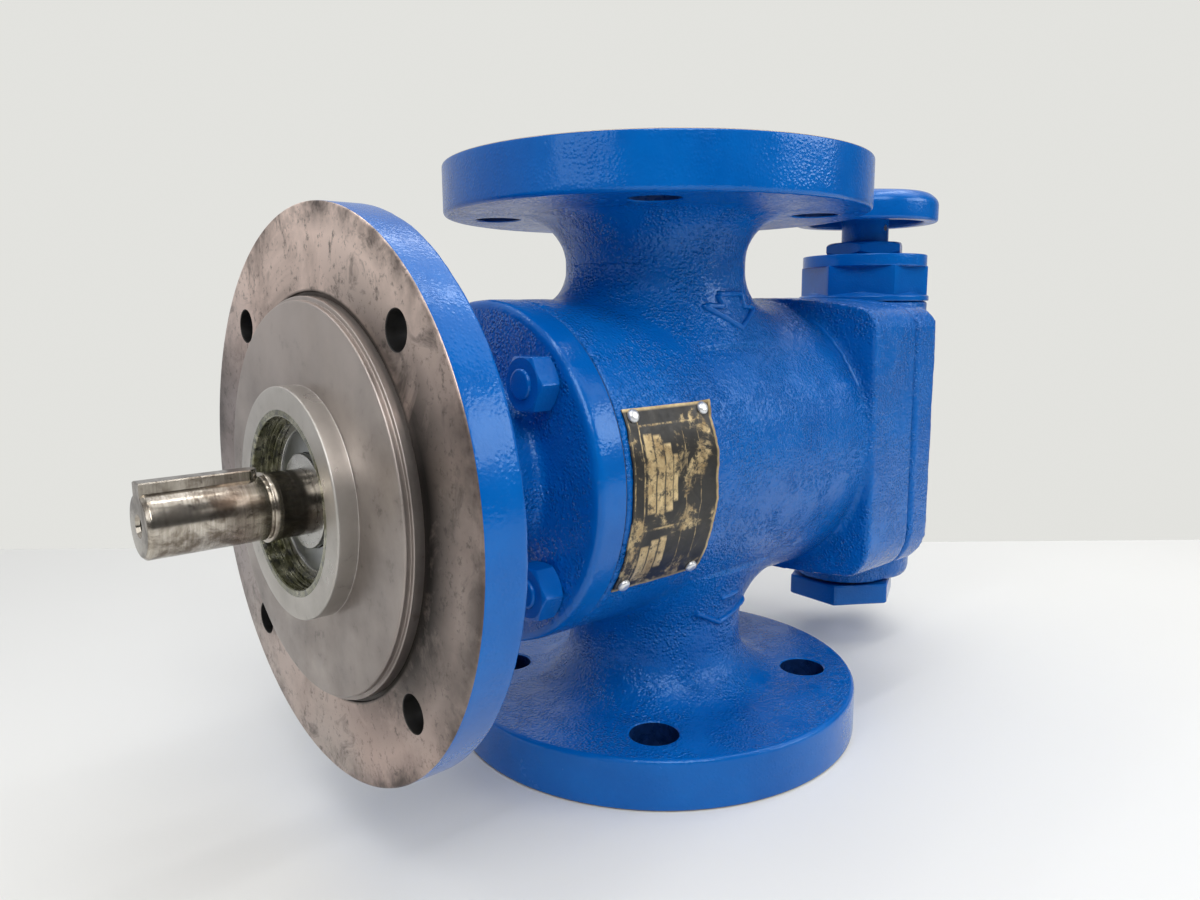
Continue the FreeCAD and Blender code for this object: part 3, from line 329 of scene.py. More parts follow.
def plain_metal(name, colour, rough, metal=1.0):
    """A metal with slight uneven tone, for pieces that hardly show."""
    g = Graph(name)
    cloud = g.noise(70, 4, 0.6)
    tone = g.blend(g.steps(cloud, 0.35, 0.65), colour, tuple(c * 0.72 for c in colour))
    g.shine(colour=tone, metal=metal, rough=g.steps(g.noise(140, 3), 0.3, 0.7, rough - 0.05, rough + 0.08))
    g.bump(g.noise(500, 3), 0.15, 0.05)
    return g.material


def soft_material(name, colour, rough):
    """Rubber, fibre or carbon, and hole walls darkened as painted shade: no metal, with a fine grain."""
    g = Graph(name)
    tone = g.blend(g.steps(g.noise(300, 4), 0.35, 0.65), colour, tuple(c * 1.8 + 0.004 for c in colour))
    g.shine(colour=tone, rough=g.steps(g.noise(200, 3), 0.3, 0.7, rough - 0.08, rough + 0.08))
    g.bump(g.noise(1200, 3), 0.3, 0.05)
    return g.material


cast_blue = blue_paint("cast_blue_paint", 1.0)
smooth_blue = blue_paint("smooth_blue_paint", 0.14)
grained_blue = blue_paint("grained_blue_paint", 0.18)
disc_bare = disc_metal()
boss_bare = turned_iron("boss_turned_iron", (0.50, 0.475, 0.445), (0.34, 0.32, 0.295), 0.32)
pilot_bare = turned_iron("pilot_turned_iron", (0.38, 0.335, 0.31), (0.22, 0.192, 0.178), 0.34)
shaft_bright = shaft_metal("shaft_bright_steel", 0.0)
shaft_oiled = shaft_metal("shaft_oiled_steel", 0.85)
shaft_end_dark = shaft_metal("shaft_end_steel", 0.6)
oily = oily_metal()
shield_grey = plain_metal("bearing_shield_steel", (0.36, 0.37, 0.38), 0.30)
steel = plain_metal("ground_steel", (0.55, 0.54, 0.52), 0.26)
spring_steel = plain_metal("dark_spring_steel", (0.18, 0.18, 0.19), 0.35)
grey_iron = plain_metal("machined_grey_iron", (0.30, 0.30, 0.30), 0.42)
bronze = plain_metal("bearing_bronze", (0.52, 0.33, 0.13), 0.32)
carbon = soft_material("lapped_carbon", (0.02, 0.02, 0.022), 0.35)
fibre = soft_material("gasket_fibre", (0.018, 0.022, 0.03), 0.7)
rubber = soft_material("seal_rubber", (0.012, 0.012, 0.013), 0.55)
rivet_silver = plain_metal("rivet_silver", (0.86, 0.88, 0.90), 0.34, 0.75)
face_bare = plain_metal("port_face_bare_iron", (0.42, 0.34, 0.24), 0.42, 0.7)
# Painted shade: the bolt hole walls are near black in the disc and dark blue in the flanges.
hole_shade_dark = soft_material("disc_hole_wall", (0.004, 0.0035, 0.003), 0.5)
hole_shade_blue = soft_material("flange_hole_wall", (0.0006, 0.012, 0.06), 0.30)

slot_looks = {
    "blue_paint": smooth_blue, "bright_steel": steel, "spring_steel": spring_steel, "grey_iron": grey_iron,
    "bronze": bronze, "shield_steel": shield_grey, "seal_carbon": carbon, "gasket_fibre": fibre,
    "seal_rubber": rubber, "plate_metal": bronze, "rivet_metal": rivet_silver,
}
for part in frame["record"]["subparts"]:
    node = frame["nodes"][part["node"]]
    node.data.materials.clear()
    node.data.materials.append(slot_looks[part["material_slot"]])
    node.data.polygons.foreach_set("use_smooth", [True] * len(node.data.polygons))
    node.data.set_sharp_from_angle(angle=math.radians(SHARP))


# Mesh helpers

def placed(name, data):
    """A new object in the scene that shows the given data."""
    piece = bpy.data.objects.new(name, data)
    bpy.context.scene.collection.objects.link(piece)
    return piece


def mesh_from(name, verts, faces):
    """A mesh from points in millimetres, with its faces turned outwards."""
    mesh = bpy.data.meshes.new(name)
    mesh.from_pydata((np.asarray(verts, float) * MM).tolist(), [], faces)
    work = bmesh.new()
    work.from_mesh(mesh)
    bmesh.ops.recalc_face_normals(work, faces=work.faces)
    work.to_mesh(mesh)
    work.free()
    return mesh


def make(name, verts, faces, looks, face_looks=None, sharp_from=SHARP):
    """A mesh object from points in millimetres; face_looks gives each face's material."""
    mesh = mesh_from(name, verts, faces)
    for look in looks:
        mesh.materials.append(look)
    if face_looks is not None:
        mesh.polygons.foreach_set("material_index", face_looks)
    shade(mesh, sharp_from)
    return placed(name, mesh)


def shade(mesh, sharp_from):
    """Smooth shading, apart from edges that bend by more than the given degrees."""
    mesh.polygons.foreach_set("use_smooth", [True] * len(mesh.polygons))
    if sharp_from < ALL_SMOOTH:
        mesh.set_sharp_from_angle(angle=math.radians(sharp_from))
    mesh.update()


def settle(piece):
    """Applies the modifiers to the piece's mesh."""
    graph = bpy.context.evaluated_depsgraph_get()
    mesh = bpy.data.meshes.new_from_object(piece.evaluated_get(graph), depsgraph=graph)
    piece.modifiers.clear()
    old = piece.data
    piece.data = mesh
    bpy.data.meshes.remove(old)


def rounded(points, steps=4):
    """An outline with its corners rounded. A point is (a, r) or (a, r, radius)."""
    result = []
    count = len(points)
    for i, point in enumerate(points):
        here = np.array(point[:2], float)
        size = point[2] if len(point) > 2 else 0.0
        before = np.array(points[i - 1][:2], float)
        after = np.array(points[(i + 1) % count][:2], float)
        to_before, to_after = before - here, after - here
        near = min(np.linalg.norm(to_before), np.linalg.norm(to_after))
        if size <= 0 or near < 1e-6:
            result.append(tuple(here))
            continue
        size = min(size, 0.48 * near)
        a = here + to_before / np.linalg.norm(to_before) * size
        b = here + to_after / np.linalg.norm(to_after) * size
        for k in range(steps + 1):
            t = k / steps
            result.append(tuple((1 - t) ** 2 * a + 2 * t * (1 - t) * here + t * t * b))
    return result


def refined(points, longest):
    """The same closed outline with points added so that no run is longer than given."""
    result = []
    for i, here in enumerate(points):
        after = points[(i + 1) % len(points)]
        length = math.dist(here, after)
        count = max(1, math.ceil(length / longest))
        if here[1] < 1e-6 and after[1] < 1e-6:
            count = 1
        for k in range(count):
            t = k / count
            result.append((here[0] * (1 - t) + after[0] * t, here[1] * (1 - t) + after[1] * t))
    return result


def lathe(outline, count, axis="x", centre=(0.0, 0.0, 0.0)):
    """Turns a closed outline of (along, radius) points; points on the axis become poles."""
    verts, rings = [], []
    for along, radius in outline:
        ring = []
        steps = 1 if radius < 1e-6 else count
        for k in range(steps):
            angle = TAU * k / count
            u, v = radius * math.cos(angle), radius * math.sin(angle)
            place = (along, u, v) if axis == "x" else (u, v, along)
            ring.append(len(verts))
            verts.append(tuple(p + c for p, c in zip(place, centre)))
        rings.append(ring)
    faces, owner = [], []
    for i, ring in enumerate(rings):
        other = rings[(i + 1) % len(rings)]
        if len(ring) == 1 and len(other) == 1:
            continue
        for k in range(count):
            n = (k + 1) % count
            if len(ring) == 1:
                faces.append((ring[0], other[k], other[n]))
            elif len(other) == 1:
                faces.append((ring[k], other[0], ring[n]))
            else:
                faces.append((ring[k], other[k], other[n], ring[n]))
            owner.append(i)
    return verts, faces, owner


def ring_faces(low, high, count):
    """Four-sided faces between two rings of vertices, given by the number of their first vertex."""
    return [(low + k, high + k, high + (k + 1) % count, low + (k + 1) % count) for k in range(count)]


def turned(name, outline, count, looks, pick=None, axis="x", centre=(0.0, 0.0, AXIS_Z), sharp_from=SHARP):
    """A lathe piece; pick(along, radius) of a face's middle gives its material's number."""
    verts, faces, owner = lathe(outline, count, axis, centre)
    numbers = None
    if pick:
        numbers = []
        for i in owner:
            a, b = outline[i], outline[(i + 1) % len(outline)]
            numbers.append(pick((a[0] + b[0]) / 2, (a[1] + b[1]) / 2))
    return make(name, verts, faces, looks, numbers, sharp_from)


def hexagon_piece(name, flats, low, high, bore=0.0, turn=0.0, axis="z", centre=(0.0, 0.0, 0.0), edge=0.35,
                  chamfered=True):
    """A painted hexagon with slightly rounded edges, and chamfered ends if asked, from low to high."""
    count = 180
    side = flats / 2
    corner = flats / math.sqrt(3)
    slope = math.tan(math.radians(30)) if chamfered else 0.0
    inner = bore or 0.001

    def outer(angle):
        """Distance to the hexagon's side, with its corners softened."""
        local = (math.degrees(angle) + 30) % 60 - 30
        reach = side / math.cos(math.radians(abs(30 - abs(local))))
        return min(reach, corner - edge * 0.35 * (1 - min(1.0, abs(local) / 1.5)))

    verts, levels = [], 8
    for level in range(levels):
        for k in range(count):
            angle = TAU * k / count
            reach = outer(angle)
            drop = (reach - side) * slope
            r, z = ((inner, low), (side * 0.965, low), (reach - edge, low + drop * 0.9),
                    (reach, low + drop + edge), (reach, high - drop - edge),
                    (reach - edge, high - drop * 0.9), (side * 0.965, high), (inner, high))[level]
            spin = math.radians(turn if level < levels - 1 else 0.0)
            u, v = r * math.cos(angle + spin), r * math.sin(angle + spin)
            place = (u, v, z) if axis == "z" else (z, u, v)
            verts.append(tuple(p + c for p, c in zip(place, centre)))
    faces = []
    for level in range(levels):
        faces += ring_faces(level * count, (level + 1) % levels * count, count)
    return make(name, verts, faces, [smooth_blue], None, 24.0)


def drill(piece, places, start, end, radius, axis, break_edge, wall):
    """Cuts round holes with slightly broken edges at places given across the axis; wall is their look, a dark one
    here as painted shade inside the holes.
    """
    for place in places:
        outline = [(start - 1, 0), (start - 1, radius + break_edge + 1), (start, radius + break_edge),
                   (start + break_edge, radius), (end - break_edge, radius), (end, radius + break_edge),
                   (end + 1, radius + break_edge + 1), (end + 1, 0)]
        centre = (0, place[0], place[1]) if axis == "x" else (place[0], place[1], 0)
        verts, faces, _ = lathe(outline, 48, axis, centre)
        cut(piece, verts, faces)
    mesh = piece.data
    mesh.materials.append(wall)
    total = len(mesh.polygons)
    middles, numbers = np.empty(total * 3), np.empty(total, int)
    mesh.polygons.foreach_get("center", middles)
    mesh.polygons.foreach_get("material_index", numbers)
    across = middles.reshape(-1, 3)[:, 1:3] if axis == "x" else middles.reshape(-1, 3)[:, 0:2]
    for place in places:
        reach = np.hypot(across[:, 0] / MM - place[0], across[:, 1] / MM - place[1])
        numbers[reach < radius + 0.15] = len(mesh.materials) - 1
    mesh.polygons.foreach_set("material_index", numbers)
    return piece


def cut(piece, verts, faces, operation="DIFFERENCE"):
    """Cuts the form given by the points and faces out of the piece, or keeps only what is inside it."""
    tool = placed("cutter", mesh_from("cutter", verts, faces))
    step = piece.modifiers.new("cut", "BOOLEAN")
    step.operation = operation
    step.solver = "EXACT"
    step.object = tool
    settle(piece)
    bpy.data.objects.remove(tool)


def vertex_arrays(mesh):
    """The mesh's vertex places in millimetres and its vertex normals."""
    count = len(mesh.vertices)
    places, normals = np.empty(count * 3), np.empty(count * 3)
    mesh.vertices.foreach_get("co", places)
    mesh.vertex_normals.foreach_get("vector", normals)
    return places.reshape(-1, 3) / MM, normals.reshape(-1, 3)


def put_places(mesh, places):
    mesh.vertices.foreach_set("co", (places * MM).reshape(-1))
    mesh.update()


# The sand-cast skin under the paint: three sizes of unevenness as (per mm, shift, height in mm)
CAST_SKIN = ((0.055, (0, 0, 0), 0.22), (0.22, (7, 3, 1), 0.13), (0.62, (2, 9, 4), 0.075))


def roughen(piece, share):
    """Moves each vertex along its normal by the cast skin; share(x, y, z) is 0 to 1."""
    places, normals = vertex_arrays(piece.data)
    for i, (x, y, z) in enumerate(places.tolist()):
        amount = share(x, y, z)
        if amount > 0:
            skin = sum(noise.noise(Vector((x, y, z)) * scale + Vector(shift)) * height
                       for scale, shift, height in CAST_SKIN)
            places[i] += normals[i] * skin * amount
    put_places(piece.data, places)


def relaxed(mesh, rounds):
    """Smooths a mesh by moving each vertex towards the middle of its neighbours, then back a little."""
    edges = np.empty(len(mesh.edges) * 2, int)
    mesh.edges.foreach_get("vertices", edges)
    edges = edges.reshape(-1, 2)
    places, _ = vertex_arrays(mesh)
    count = len(places)
    degree = np.bincount(edges.reshape(-1), minlength=count)[:, None]

    def step(points, weight):
        total = np.zeros_like(points)
        for axis in range(3):
            total[:, axis] += np.bincount(edges[:, 0], points[edges[:, 1], axis], count)
            total[:, axis] += np.bincount(edges[:, 1], points[edges[:, 0], axis], count)
        return points + weight * (total / degree - points)

    for _ in range(rounds):
        places = step(places, 0.5)
        places = step(places, -0.48)
    put_places(mesh, step(places, 0.35))


def welded_copy(name, node):
    """A copy of a CAD node's mesh with its doubled vertices joined and no materials."""
    piece = placed(name, frame["nodes"][node].data.copy())
    work = bmesh.new()
    work.from_mesh(piece.data)
    bmesh.ops.remove_doubles(work, verts=work.verts, dist=0.00001)
    work.to_mesh(piece.data)
    work.free()
    piece.data.materials.clear()
    return piece


def remeshed(name, node, voxel, keep_box=None):
    """A cast body: the CAD node's shape, cropped if asked, remeshed evenly and smoothed."""
    piece = welded_copy(name, node)
    if keep_box:
        low, high = keep_box
        corners = [(x, y, z) for x in (low[0], high[0]) for y in (low[1], high[1]) for z in (low[2], high[2])]
        faces = [(0, 1, 3, 2), (4, 6, 7, 5), (0, 4, 5, 1), (2, 3, 7, 6), (0, 2, 6, 4), (1, 5, 7, 3)]
        cut(piece, corners, faces, "INTERSECT")
        piece.data.materials.clear()
    step = piece.modifiers.new("even", "REMESH")
    step.mode = "VOXEL"
    step.voxel_size = voxel * MM
    step.adaptivity = 0.0
    settle(piece)
    relaxed(piece.data, 3)
    piece.data.materials.append(cast_blue)
    shade(piece.data, ALL_SMOOTH)
    return piece


def dress(piece, node, body="pump_body"):
    """Rides the piece on its body and hides the CAD node that it stands for."""
    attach(piece, body)
    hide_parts(node)
    return piece


def on_circle(diameter):
    """Four places at 45 degrees on a circle."""
    for k in range(4):
        angle = math.radians(45.0 + 90.0 * k)
        yield diameter / 2 * math.cos(angle), diameter / 2 * math.sin(angle)


# Casing: an even cast body with the two port flanges turned as crisp pieces

body = remeshed("casing_body", "pump_casing", 1.25, ((-90, -80, 37.0), (130, 80, UPPER_FACE - 37.0)))


def fillet_necks(mesh):
    """Rounds the corner between each port neck and the barrel, by moving the vertices there outwards."""
    places, _ = vertex_arrays(mesh)

    def reaches(p):
        neck = np.hypot(p[:, 0], p[:, 1]) - NECK_RADIUS
        return neck, np.hypot(p[:, 1], p[:, 2] - AXIS_Z) - BARREL_RADIUS

    def gap(p):
        neck, barrel = reaches(p)
        inner = np.hypot(np.maximum(NECK_FILLET - neck, 0), np.maximum(NECK_FILLET - barrel, 0))
        return np.maximum(NECK_FILLET, np.minimum(neck, barrel)) - inner

    neck, barrel = reaches(places)
    nearest = np.minimum(neck, barrel)
    near = (nearest > -1.4) & (nearest < 4.5) & (np.maximum(neck, barrel) < NECK_FILLET + 1.0)
    near &= np.abs(places[:, 2] - AXIS_Z) > 42.0
    spots = places[near]
    for _ in range(12):
        rises = [gap(spots + step) - gap(spots - step) for step in np.eye(3) * 0.02]
        slope = np.stack(rises, axis=1) / 0.04
        length = np.maximum(np.linalg.norm(slope, axis=1, keepdims=True), 0.2)
        spots = spots - np.minimum(gap(spots), 0.0)[:, None] * slope / length ** 2
    places[near] = spots
    put_places(mesh, places)


def open_joint(mesh, joint_x, reach=1.7, depth=0.9):
    """Breaks the outer edge beside a joint across the pump, so that the joint shows as a dark line."""
    places, normals = vertex_arrays(mesh)
    outer = np.maximum(np.abs(places[:, 1]), np.abs(places[:, 2] - AXIS_Z)) > 45.0
    weight = np.clip(1.0 - np.abs(places[:, 0] - joint_x) / reach, 0.0, 1.0) * outer
    places[:, 1:] -= normals[:, 1:] * weight[:, None] * depth
    put_places(mesh, places)


def body_share(x, y, z):
    """Less cast skin on the machined joint faces and inside the bores."""
    from_axis = math.hypot(y, z - AXIS_Z)
    if from_axis < 53 and abs(z - AXIS_Z) < 55:
        return 0.0
    front = min(1.0, max(0.0, (x - CASING_FRONT) / 2.0))
    rear = min(1.0, max(0.0, (CASING_REAR - x) / 1.5))
    return min(front, rear)


fillet_necks(body.data)
roughen(body, body_share)
gasket_low, gasket_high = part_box("rear_gasket")
open_joint(body.data, gasket_low[0] / MM)
shade(body.data, ALL_SMOOTH)
dress(body, "pump_casing")


body_tree = BVHTree.FromPolygons([v.co.copy() for v in body.data.vertices],
                                 [tuple(p.vertices) for p in body.data.polygons])


def ridge(name, path, width, height):
    """A raised cast line on the casing's side, along points given by x and z on the -Y side."""
    stations = []
    for (x0, z0), (x1, z1) in zip(path, path[1:]):
        count = max(2, math.ceil(math.dist((x0, z0), (x1, z1)) / 0.6))
        stations += [(x0 + (x1 - x0) * k / count, z0 + (z1 - z0) * k / count) for k in range(count)]
    stations.append(path[-1])
    spots = []
    for x, z in stations:
        hit = body_tree.ray_cast(Vector((x, -90.0, z)) * MM, Vector((0, 1, 0)))
        spots.append((hit[0] / MM, hit[1]))
    verts, faces, sides = [], [], 8
    for i, (place, normal) in enumerate(spots):
        along = (spots[min(i + 1, len(spots) - 1)][0] - spots[max(i - 1, 0)][0]).normalized()
        across = normal.cross(along).normalized()
        end = min(1.0, (min(i, len(spots) - 1 - i) + 0.4) / 2.0)
        uneven = 1.0 + 0.25 * noise.noise(place * 0.5)
        for k in range(sides):
            angle = math.pi * k / (sides - 1)
            out = height * end * uneven * math.sin(angle) - (0.5 if k in (0, sides - 1) else 0.0)
            verts.append(place + across * (width / 2 * uneven * math.cos(angle)) + normal * out)
    for i in range(len(spots) - 1):
        for k in range(sides):
            n = (k + 1) % sides
            faces.append((i * sides + k, i * sides + n, (i + 1) * sides + n, (i + 1) * sides + k))
    faces.append(tuple(range(sides)))
    faces.append(tuple(range(len(verts) - 1, len(verts) - sides - 1, -1)))
    piece = make(name, [tuple(v) for v in verts], faces, [smooth_blue], None, 60.0)
    return dress(piece, "pump_casing")


ridge("suction_arrow", [(-3.6, 173.9), (-1.9, 169.5), (-10.9, 169.6), (5.0, 161.5), (19.9, 168.5),
                        (11.5, 169.5), (11.3, 174.2), (-3.6, 173.9)], 2.3, 1.5)
ridge("discharge_arrow", [(-12.4, 53.4), (-0.2, 47.1), (21.0, 51.0)], 2.3, 1.3)
ridge("block_seam", [(60.6, 164.0), (60.8, 157.0), (60.8, 150.0), (60.8, 143.0), (60.9, 136.0)], 2.0, 0.7)
ridge("discharge_arrow_step", [(-1.4, 57.3), (8.9, 58.1)], 2.0, 0.95)


def port_piece(name, face, inward):
    """One port flange with its flared neck, from its face towards the shaft."""
    root = face + inward * PORT_THICKNESS
    flare = []
    for k in range(13):
        angle = math.radians(90 * k / 12)
        flare.append((root + inward * NECK_FLARE * (1 - math.cos(angle)),
                      NECK_RADIUS + NECK_FLARE * (1 - math.sin(angle))))
    end = root + inward * 26.5
    outline = [(face, PORT_BORE, 0.5), (face, PORT_RADIUS, 0.9), (root, PORT_RADIUS, 1.8)]
    points = refined(rounded(outline + flare + [(end, NECK_RADIUS - 0.05), (end, PORT_BORE)], 5), 1.6)

    def pick(along, radius):
        """The bare face and bore, the rough neck, or the painted rim."""
        depth = abs(along - face)
        if depth < 0.3 or radius < PORT_BORE + 0.3:
            return 2
        return 1 if depth > 15.5 and 26 < radius < 81 else 0

    piece = turned(name, points, 330, [grained_blue, cast_blue, face_bare], pick, "z", (0.0, 0.0, 0.0), 40.0)

    def share(x, y, z):
        radius = math.hypot(x, y)
        if radius < 27 or radius > 81:
            return 0.0
        return min(1.0, max(0.0, (abs(z - face) - 12.0) / 4.0)) * (0.45 if radius > 56 else 1.0)

    roughen(piece, share)
    low, high = sorted((face, root))
    drill(piece, list(on_circle(PORT_BOLT_CIRCLE)), low, high, 9.0, "z", 0.45, hole_shade_blue)
    shade(piece.data, 40)
    return dress(piece, "pump_casing")


port_piece("lower_port_flange", 0.0, 1)
port_piece("upper_port_flange", UPPER_FACE, -1)


# Front cover: bare disc face, pilot and boss, painted rim, neck and rear flange

cover_outline = rounded([
    (-83.5, 59.9, 3.0), (-72.05, 60.0, 0.3), (-72.05, 22.0), (-132.5, 22.0), (-132.5, 26.02),
    (-147.5, 26.02), (-147.5, 27.4, 0.1), (-149.54, 27.4, 0.1), (-149.54, 26.02, 0.1),
    (-150.35, 26.02, 0.15), (-150.35, 26.75, 0.15), (-151.2, 26.75, 0.15), (-151.2, 26.02, 0.15),
    (-152.0, 26.02, 0.15), (-152.0, 26.6, 0.15), (-152.7, 26.6, 0.15), (-152.7, 26.02, 0.15),
    (-154.9, 26.02, 0.5), (-154.9, 35.0, 0.6), (-148.6, 35.0, 0.25),
    (-148.6, 59.7, 0.6), (-146.7, 59.7, 0.2), (-146.7, 61.0, 0.35), (-143.5, 61.0), (-143.5, 62.2, 0.1),
    (DISC_FRONT, 62.4), (DISC_FRONT, DISC_RADIUS, 0.9),
    (DISC_BACK, DISC_RADIUS, 1.6), (DISC_BACK, 32.0, 4.0), (-83.5, 32.0, 4.0),
], 5)


def cover_look(along, radius):
    """Material numbers from the oily bore outwards: boss, pilot, disc face, smooth edges, cast skin."""
    if radius < 27.5:
        return 5
    if along < -148.7 and radius < 36:
        return 4
    if along < -143.55 and radius < 61.1:
        return 3
    if along < -143.4 and radius < 88.5:
        return 2
    return 1 if radius > 86.5 or along > -83.6 and radius > 57 else 0


cover = turned("bearing_cover", refined(cover_outline, 1.7), 360,
               [cast_blue, smooth_blue, disc_bare, pilot_bare, boss_bare, oily], cover_look, sharp_from=30.0)


def cover_share(x, y, z):
    """Cast skin on the neck between the disc and the rear flange only."""
    return 0.9 if -131 < x <= -80 and math.hypot(y, z - AXIS_Z) >= 30 else 0.0


roughen(cover, cover_share)
drill(cover, [(y, AXIS_Z + z) for y, z in on_circle(DISC_BOLT_CIRCLE)], DISC_FRONT, DISC_BACK, 5.5, "x", 0.2,
      hole_shade_dark)
shade(cover.data, 30)
dress(cover, "front_cover")


# Stud nuts with stud ends, and the hidden rear screws

for number, (y, z) in enumerate(on_circle(STUD_CIRCLE)):
    spot = (0.0, y, AXIS_Z + z)
    nut = hexagon_piece("stud_nut_%d" % number, NUT_FLATS, -91.9, -83.55, 5.0, 0.0, "x", spot, 0.3)
    dress(nut, "cover_nuts")
    outline = rounded([(-93.1, 0), (-93.1, 4.9, 1.0), (-90.0, 4.95), (-52.0, 4.95), (-52.0, 0)])
    stud = turned("stud_end_%d" % number, outline, 48, [smooth_blue], None, "x", spot)
    dress(stud, "cover_studs")
for number, (y, z) in enumerate(((-47, -44), (-47, 44), (47, -44), (47, 44))):
    head = hexagon_piece("rear_screw_%d" % number, NUT_FLATS, 110.05, 116.4, 0.0, 0.0, "x",
                         (0.0, y, AXIS_Z + z), 0.3)
    dress(head, "rear_cover_screws")


# Rear cover with the valve body

rear = remeshed("valve_cover", "rear_cover", 1.1)


def rear_share(x, y, z):
    """No cast skin in the valve's bore and on the joint, top and bottom faces."""
    front = 95.4
    if math.hypot(x - VALVE[0], y) < 24 or x < front or z > 170.5 or z < 32.2:
        return 0.0
    return min(1.0, max(0.0, (x - front) / 1.5))


roughen(rear, rear_share)
open_joint(rear.data, gasket_high[0] / MM)
dress(rear, "rear_cover")


# Bonnet, gland nut, handwheel and plug

bonnet_outline = rounded([
    (166.5, 11.1), (166.5, 19.9), (171.55, 19.9), (171.55, 31.75, 0.4), (174.0, 31.75, 0.5),
    (175.6, 26.9, 0.4), (188.0, 26.5), (188.3, 30.25, 0.5), (194.0, 30.25, 0.6), (194.0, 14.5),
    (184.0, 14.5), (184.0, 11.1),
])
bonnet_base = turned("bonnet_base", bonnet_outline, 180, [smooth_blue], None, "z", VALVE)
dress(bonnet_base, "valve_bonnet")
bonnet_hex = hexagon_piece("bonnet_hexagon", 53.6, 173.6, 188.8, 13.5, 0.0, "z", VALVE, 0.5, False)
dress(bonnet_hex, "valve_bonnet")
gland = hexagon_piece("gland_hexagon", 35.4, 194.05, 200.4, 11.25, 27.0, "z", VALVE, 0.4)
dress(gland, "gland_nut")
wheel_outline = rounded([
    (200.7, 6.1), (200.7, 11.4, 0.6), (216.6, 11.4, 1.6), (218.4, 14.5, 1.2), (218.4, 25.6, 1.4),
    (215.0, 27.8, 1.4), (209.6, 27.8, 1.3), (209.6, 34.4, 1.6), (219.4, 34.4, 2.0), (223.4, 30.4, 3.0),
    (226.0, 11.4, 4.0), (226.0, 0.0), (213.0, 0.0), (213.0, 6.1),
], 5)
wheel = turned("handwheel_dish", refined(wheel_outline, 2.5), 200, [smooth_blue], None, "z", VALVE, 40.0)
dress(wheel, "handwheel", "spindle")
plug = hexagon_piece("plug_hexagon", 48.4, 20.3, 30.28, 0.0, 26.0, "z", PLUG, 0.7, False)
dress(plug, "bottom_plug")
thread_outline = rounded([(30.3, 0), (30.3, 17.0), (44.5, 17.0), (44.5, 0)])
plug_thread = turned("plug_thread", thread_outline, 96, [steel], None, "z", PLUG)
dress(plug_thread, "bottom_plug")


# Name plate and rivets

def plate_look():
    """Worn black lacquer over brass with bare ruled fields, and no words."""
    g = Graph("worn_plate")
    u, v, _ = g.parts(g.node("UVMap", uv_map="plate").outputs[0])

    def band(value, low, high, soft=0.006):
        rise = g.steps(value, low - soft, low + soft)
        fall = g.steps(value, high - soft, high + soft, 1.0, 0.0)
        return g.times(rise, fall)

    def boxes(layout, soft):
        """Boxes given by their left, right, low and high shares of the plate."""
        whole = None
        for left, right, low, high in layout:
            box = g.times(band(u, left, right, soft), band(v, low, high))
            whole = box if whole is None else g.most(whole, box)
        return whole

    fields = boxes(((0.155, 0.245, 0.455, 0.86), (0.26, 0.345, 0.44, 0.85), (0.36, 0.44, 0.45, 0.80),
                    (0.155, 0.245, 0.05, 0.27), (0.26, 0.345, 0.08, 0.30), (0.36, 0.44, 0.12, 0.31),
                    (0.45, 0.50, 0.50, 0.74)), 0.006)
    rules = boxes(((0.115, 0.127, 0.03, 0.97), (0.015, 0.027, 0.02, 0.98), (0.60, 0.608, 0.1, 0.88),
                   (0.78, 0.788, 0.12, 0.86)), 0.003)
    for low in (0.36, 0.90):
        line = g.times(band(v, low, low + 0.01, 0.003), band(u, 0.12, 0.8))
        rules = g.most(rules, line)
    ends = g.most(band(v, 0.985, 1.2), band(v, -0.2, 0.015))
    edge = g.most(band(u, 0.975, 1.2), ends)
    wear = g.noise(330, 7, 0.75)
    patch = g.noise(75, 5, 0.65, distort=0.6)
    worn_fields = g.times(fields, g.steps(wear, 0.40, 0.50, 0.10, 1.0))
    worn_rules = g.times(rules, g.steps(wear, 0.44, 0.56, 0.05, 0.9))
    scuffs = g.times(g.steps(patch, 0.53, 0.60, 0.0, 0.9), g.steps(wear, 0.44, 0.54))
    brass = g.most(g.most(worn_fields, worn_rules), scuffs)
    brass = g.most(brass, g.times(edge, 0.75))
    brass_tone = g.blend(g.steps(g.noise(150, 5, 0.7), 0.35, 0.65), (0.74, 0.58, 0.32), (0.36, 0.25, 0.12))
    black_tone = g.blend(g.steps(patch, 0.4, 0.62), (0.006, 0.006, 0.006), (0.03, 0.026, 0.02))
    colour = g.blend(brass, black_tone, brass_tone)
    g.shine(colour=colour, metal=g.steps(brass, 0.2, 0.8, 0.1, 0.55),
            rough=g.steps(wear, 0.3, 0.7, 0.30, 0.5))
    first = g.bump(brass, 0.3, 0.06)
    g.bump(g.noise(240, 4), 0.3, 0.12, first)
    return g.material


def waves(along, offsets, heights):
    """An uneven edge: a slow and a quick wave, each as (per length, place in the noise)."""
    return sum(height * noise.noise(Vector((along * rate, place, 0.0)))
               for height, (rate, place) in zip(heights, offsets))


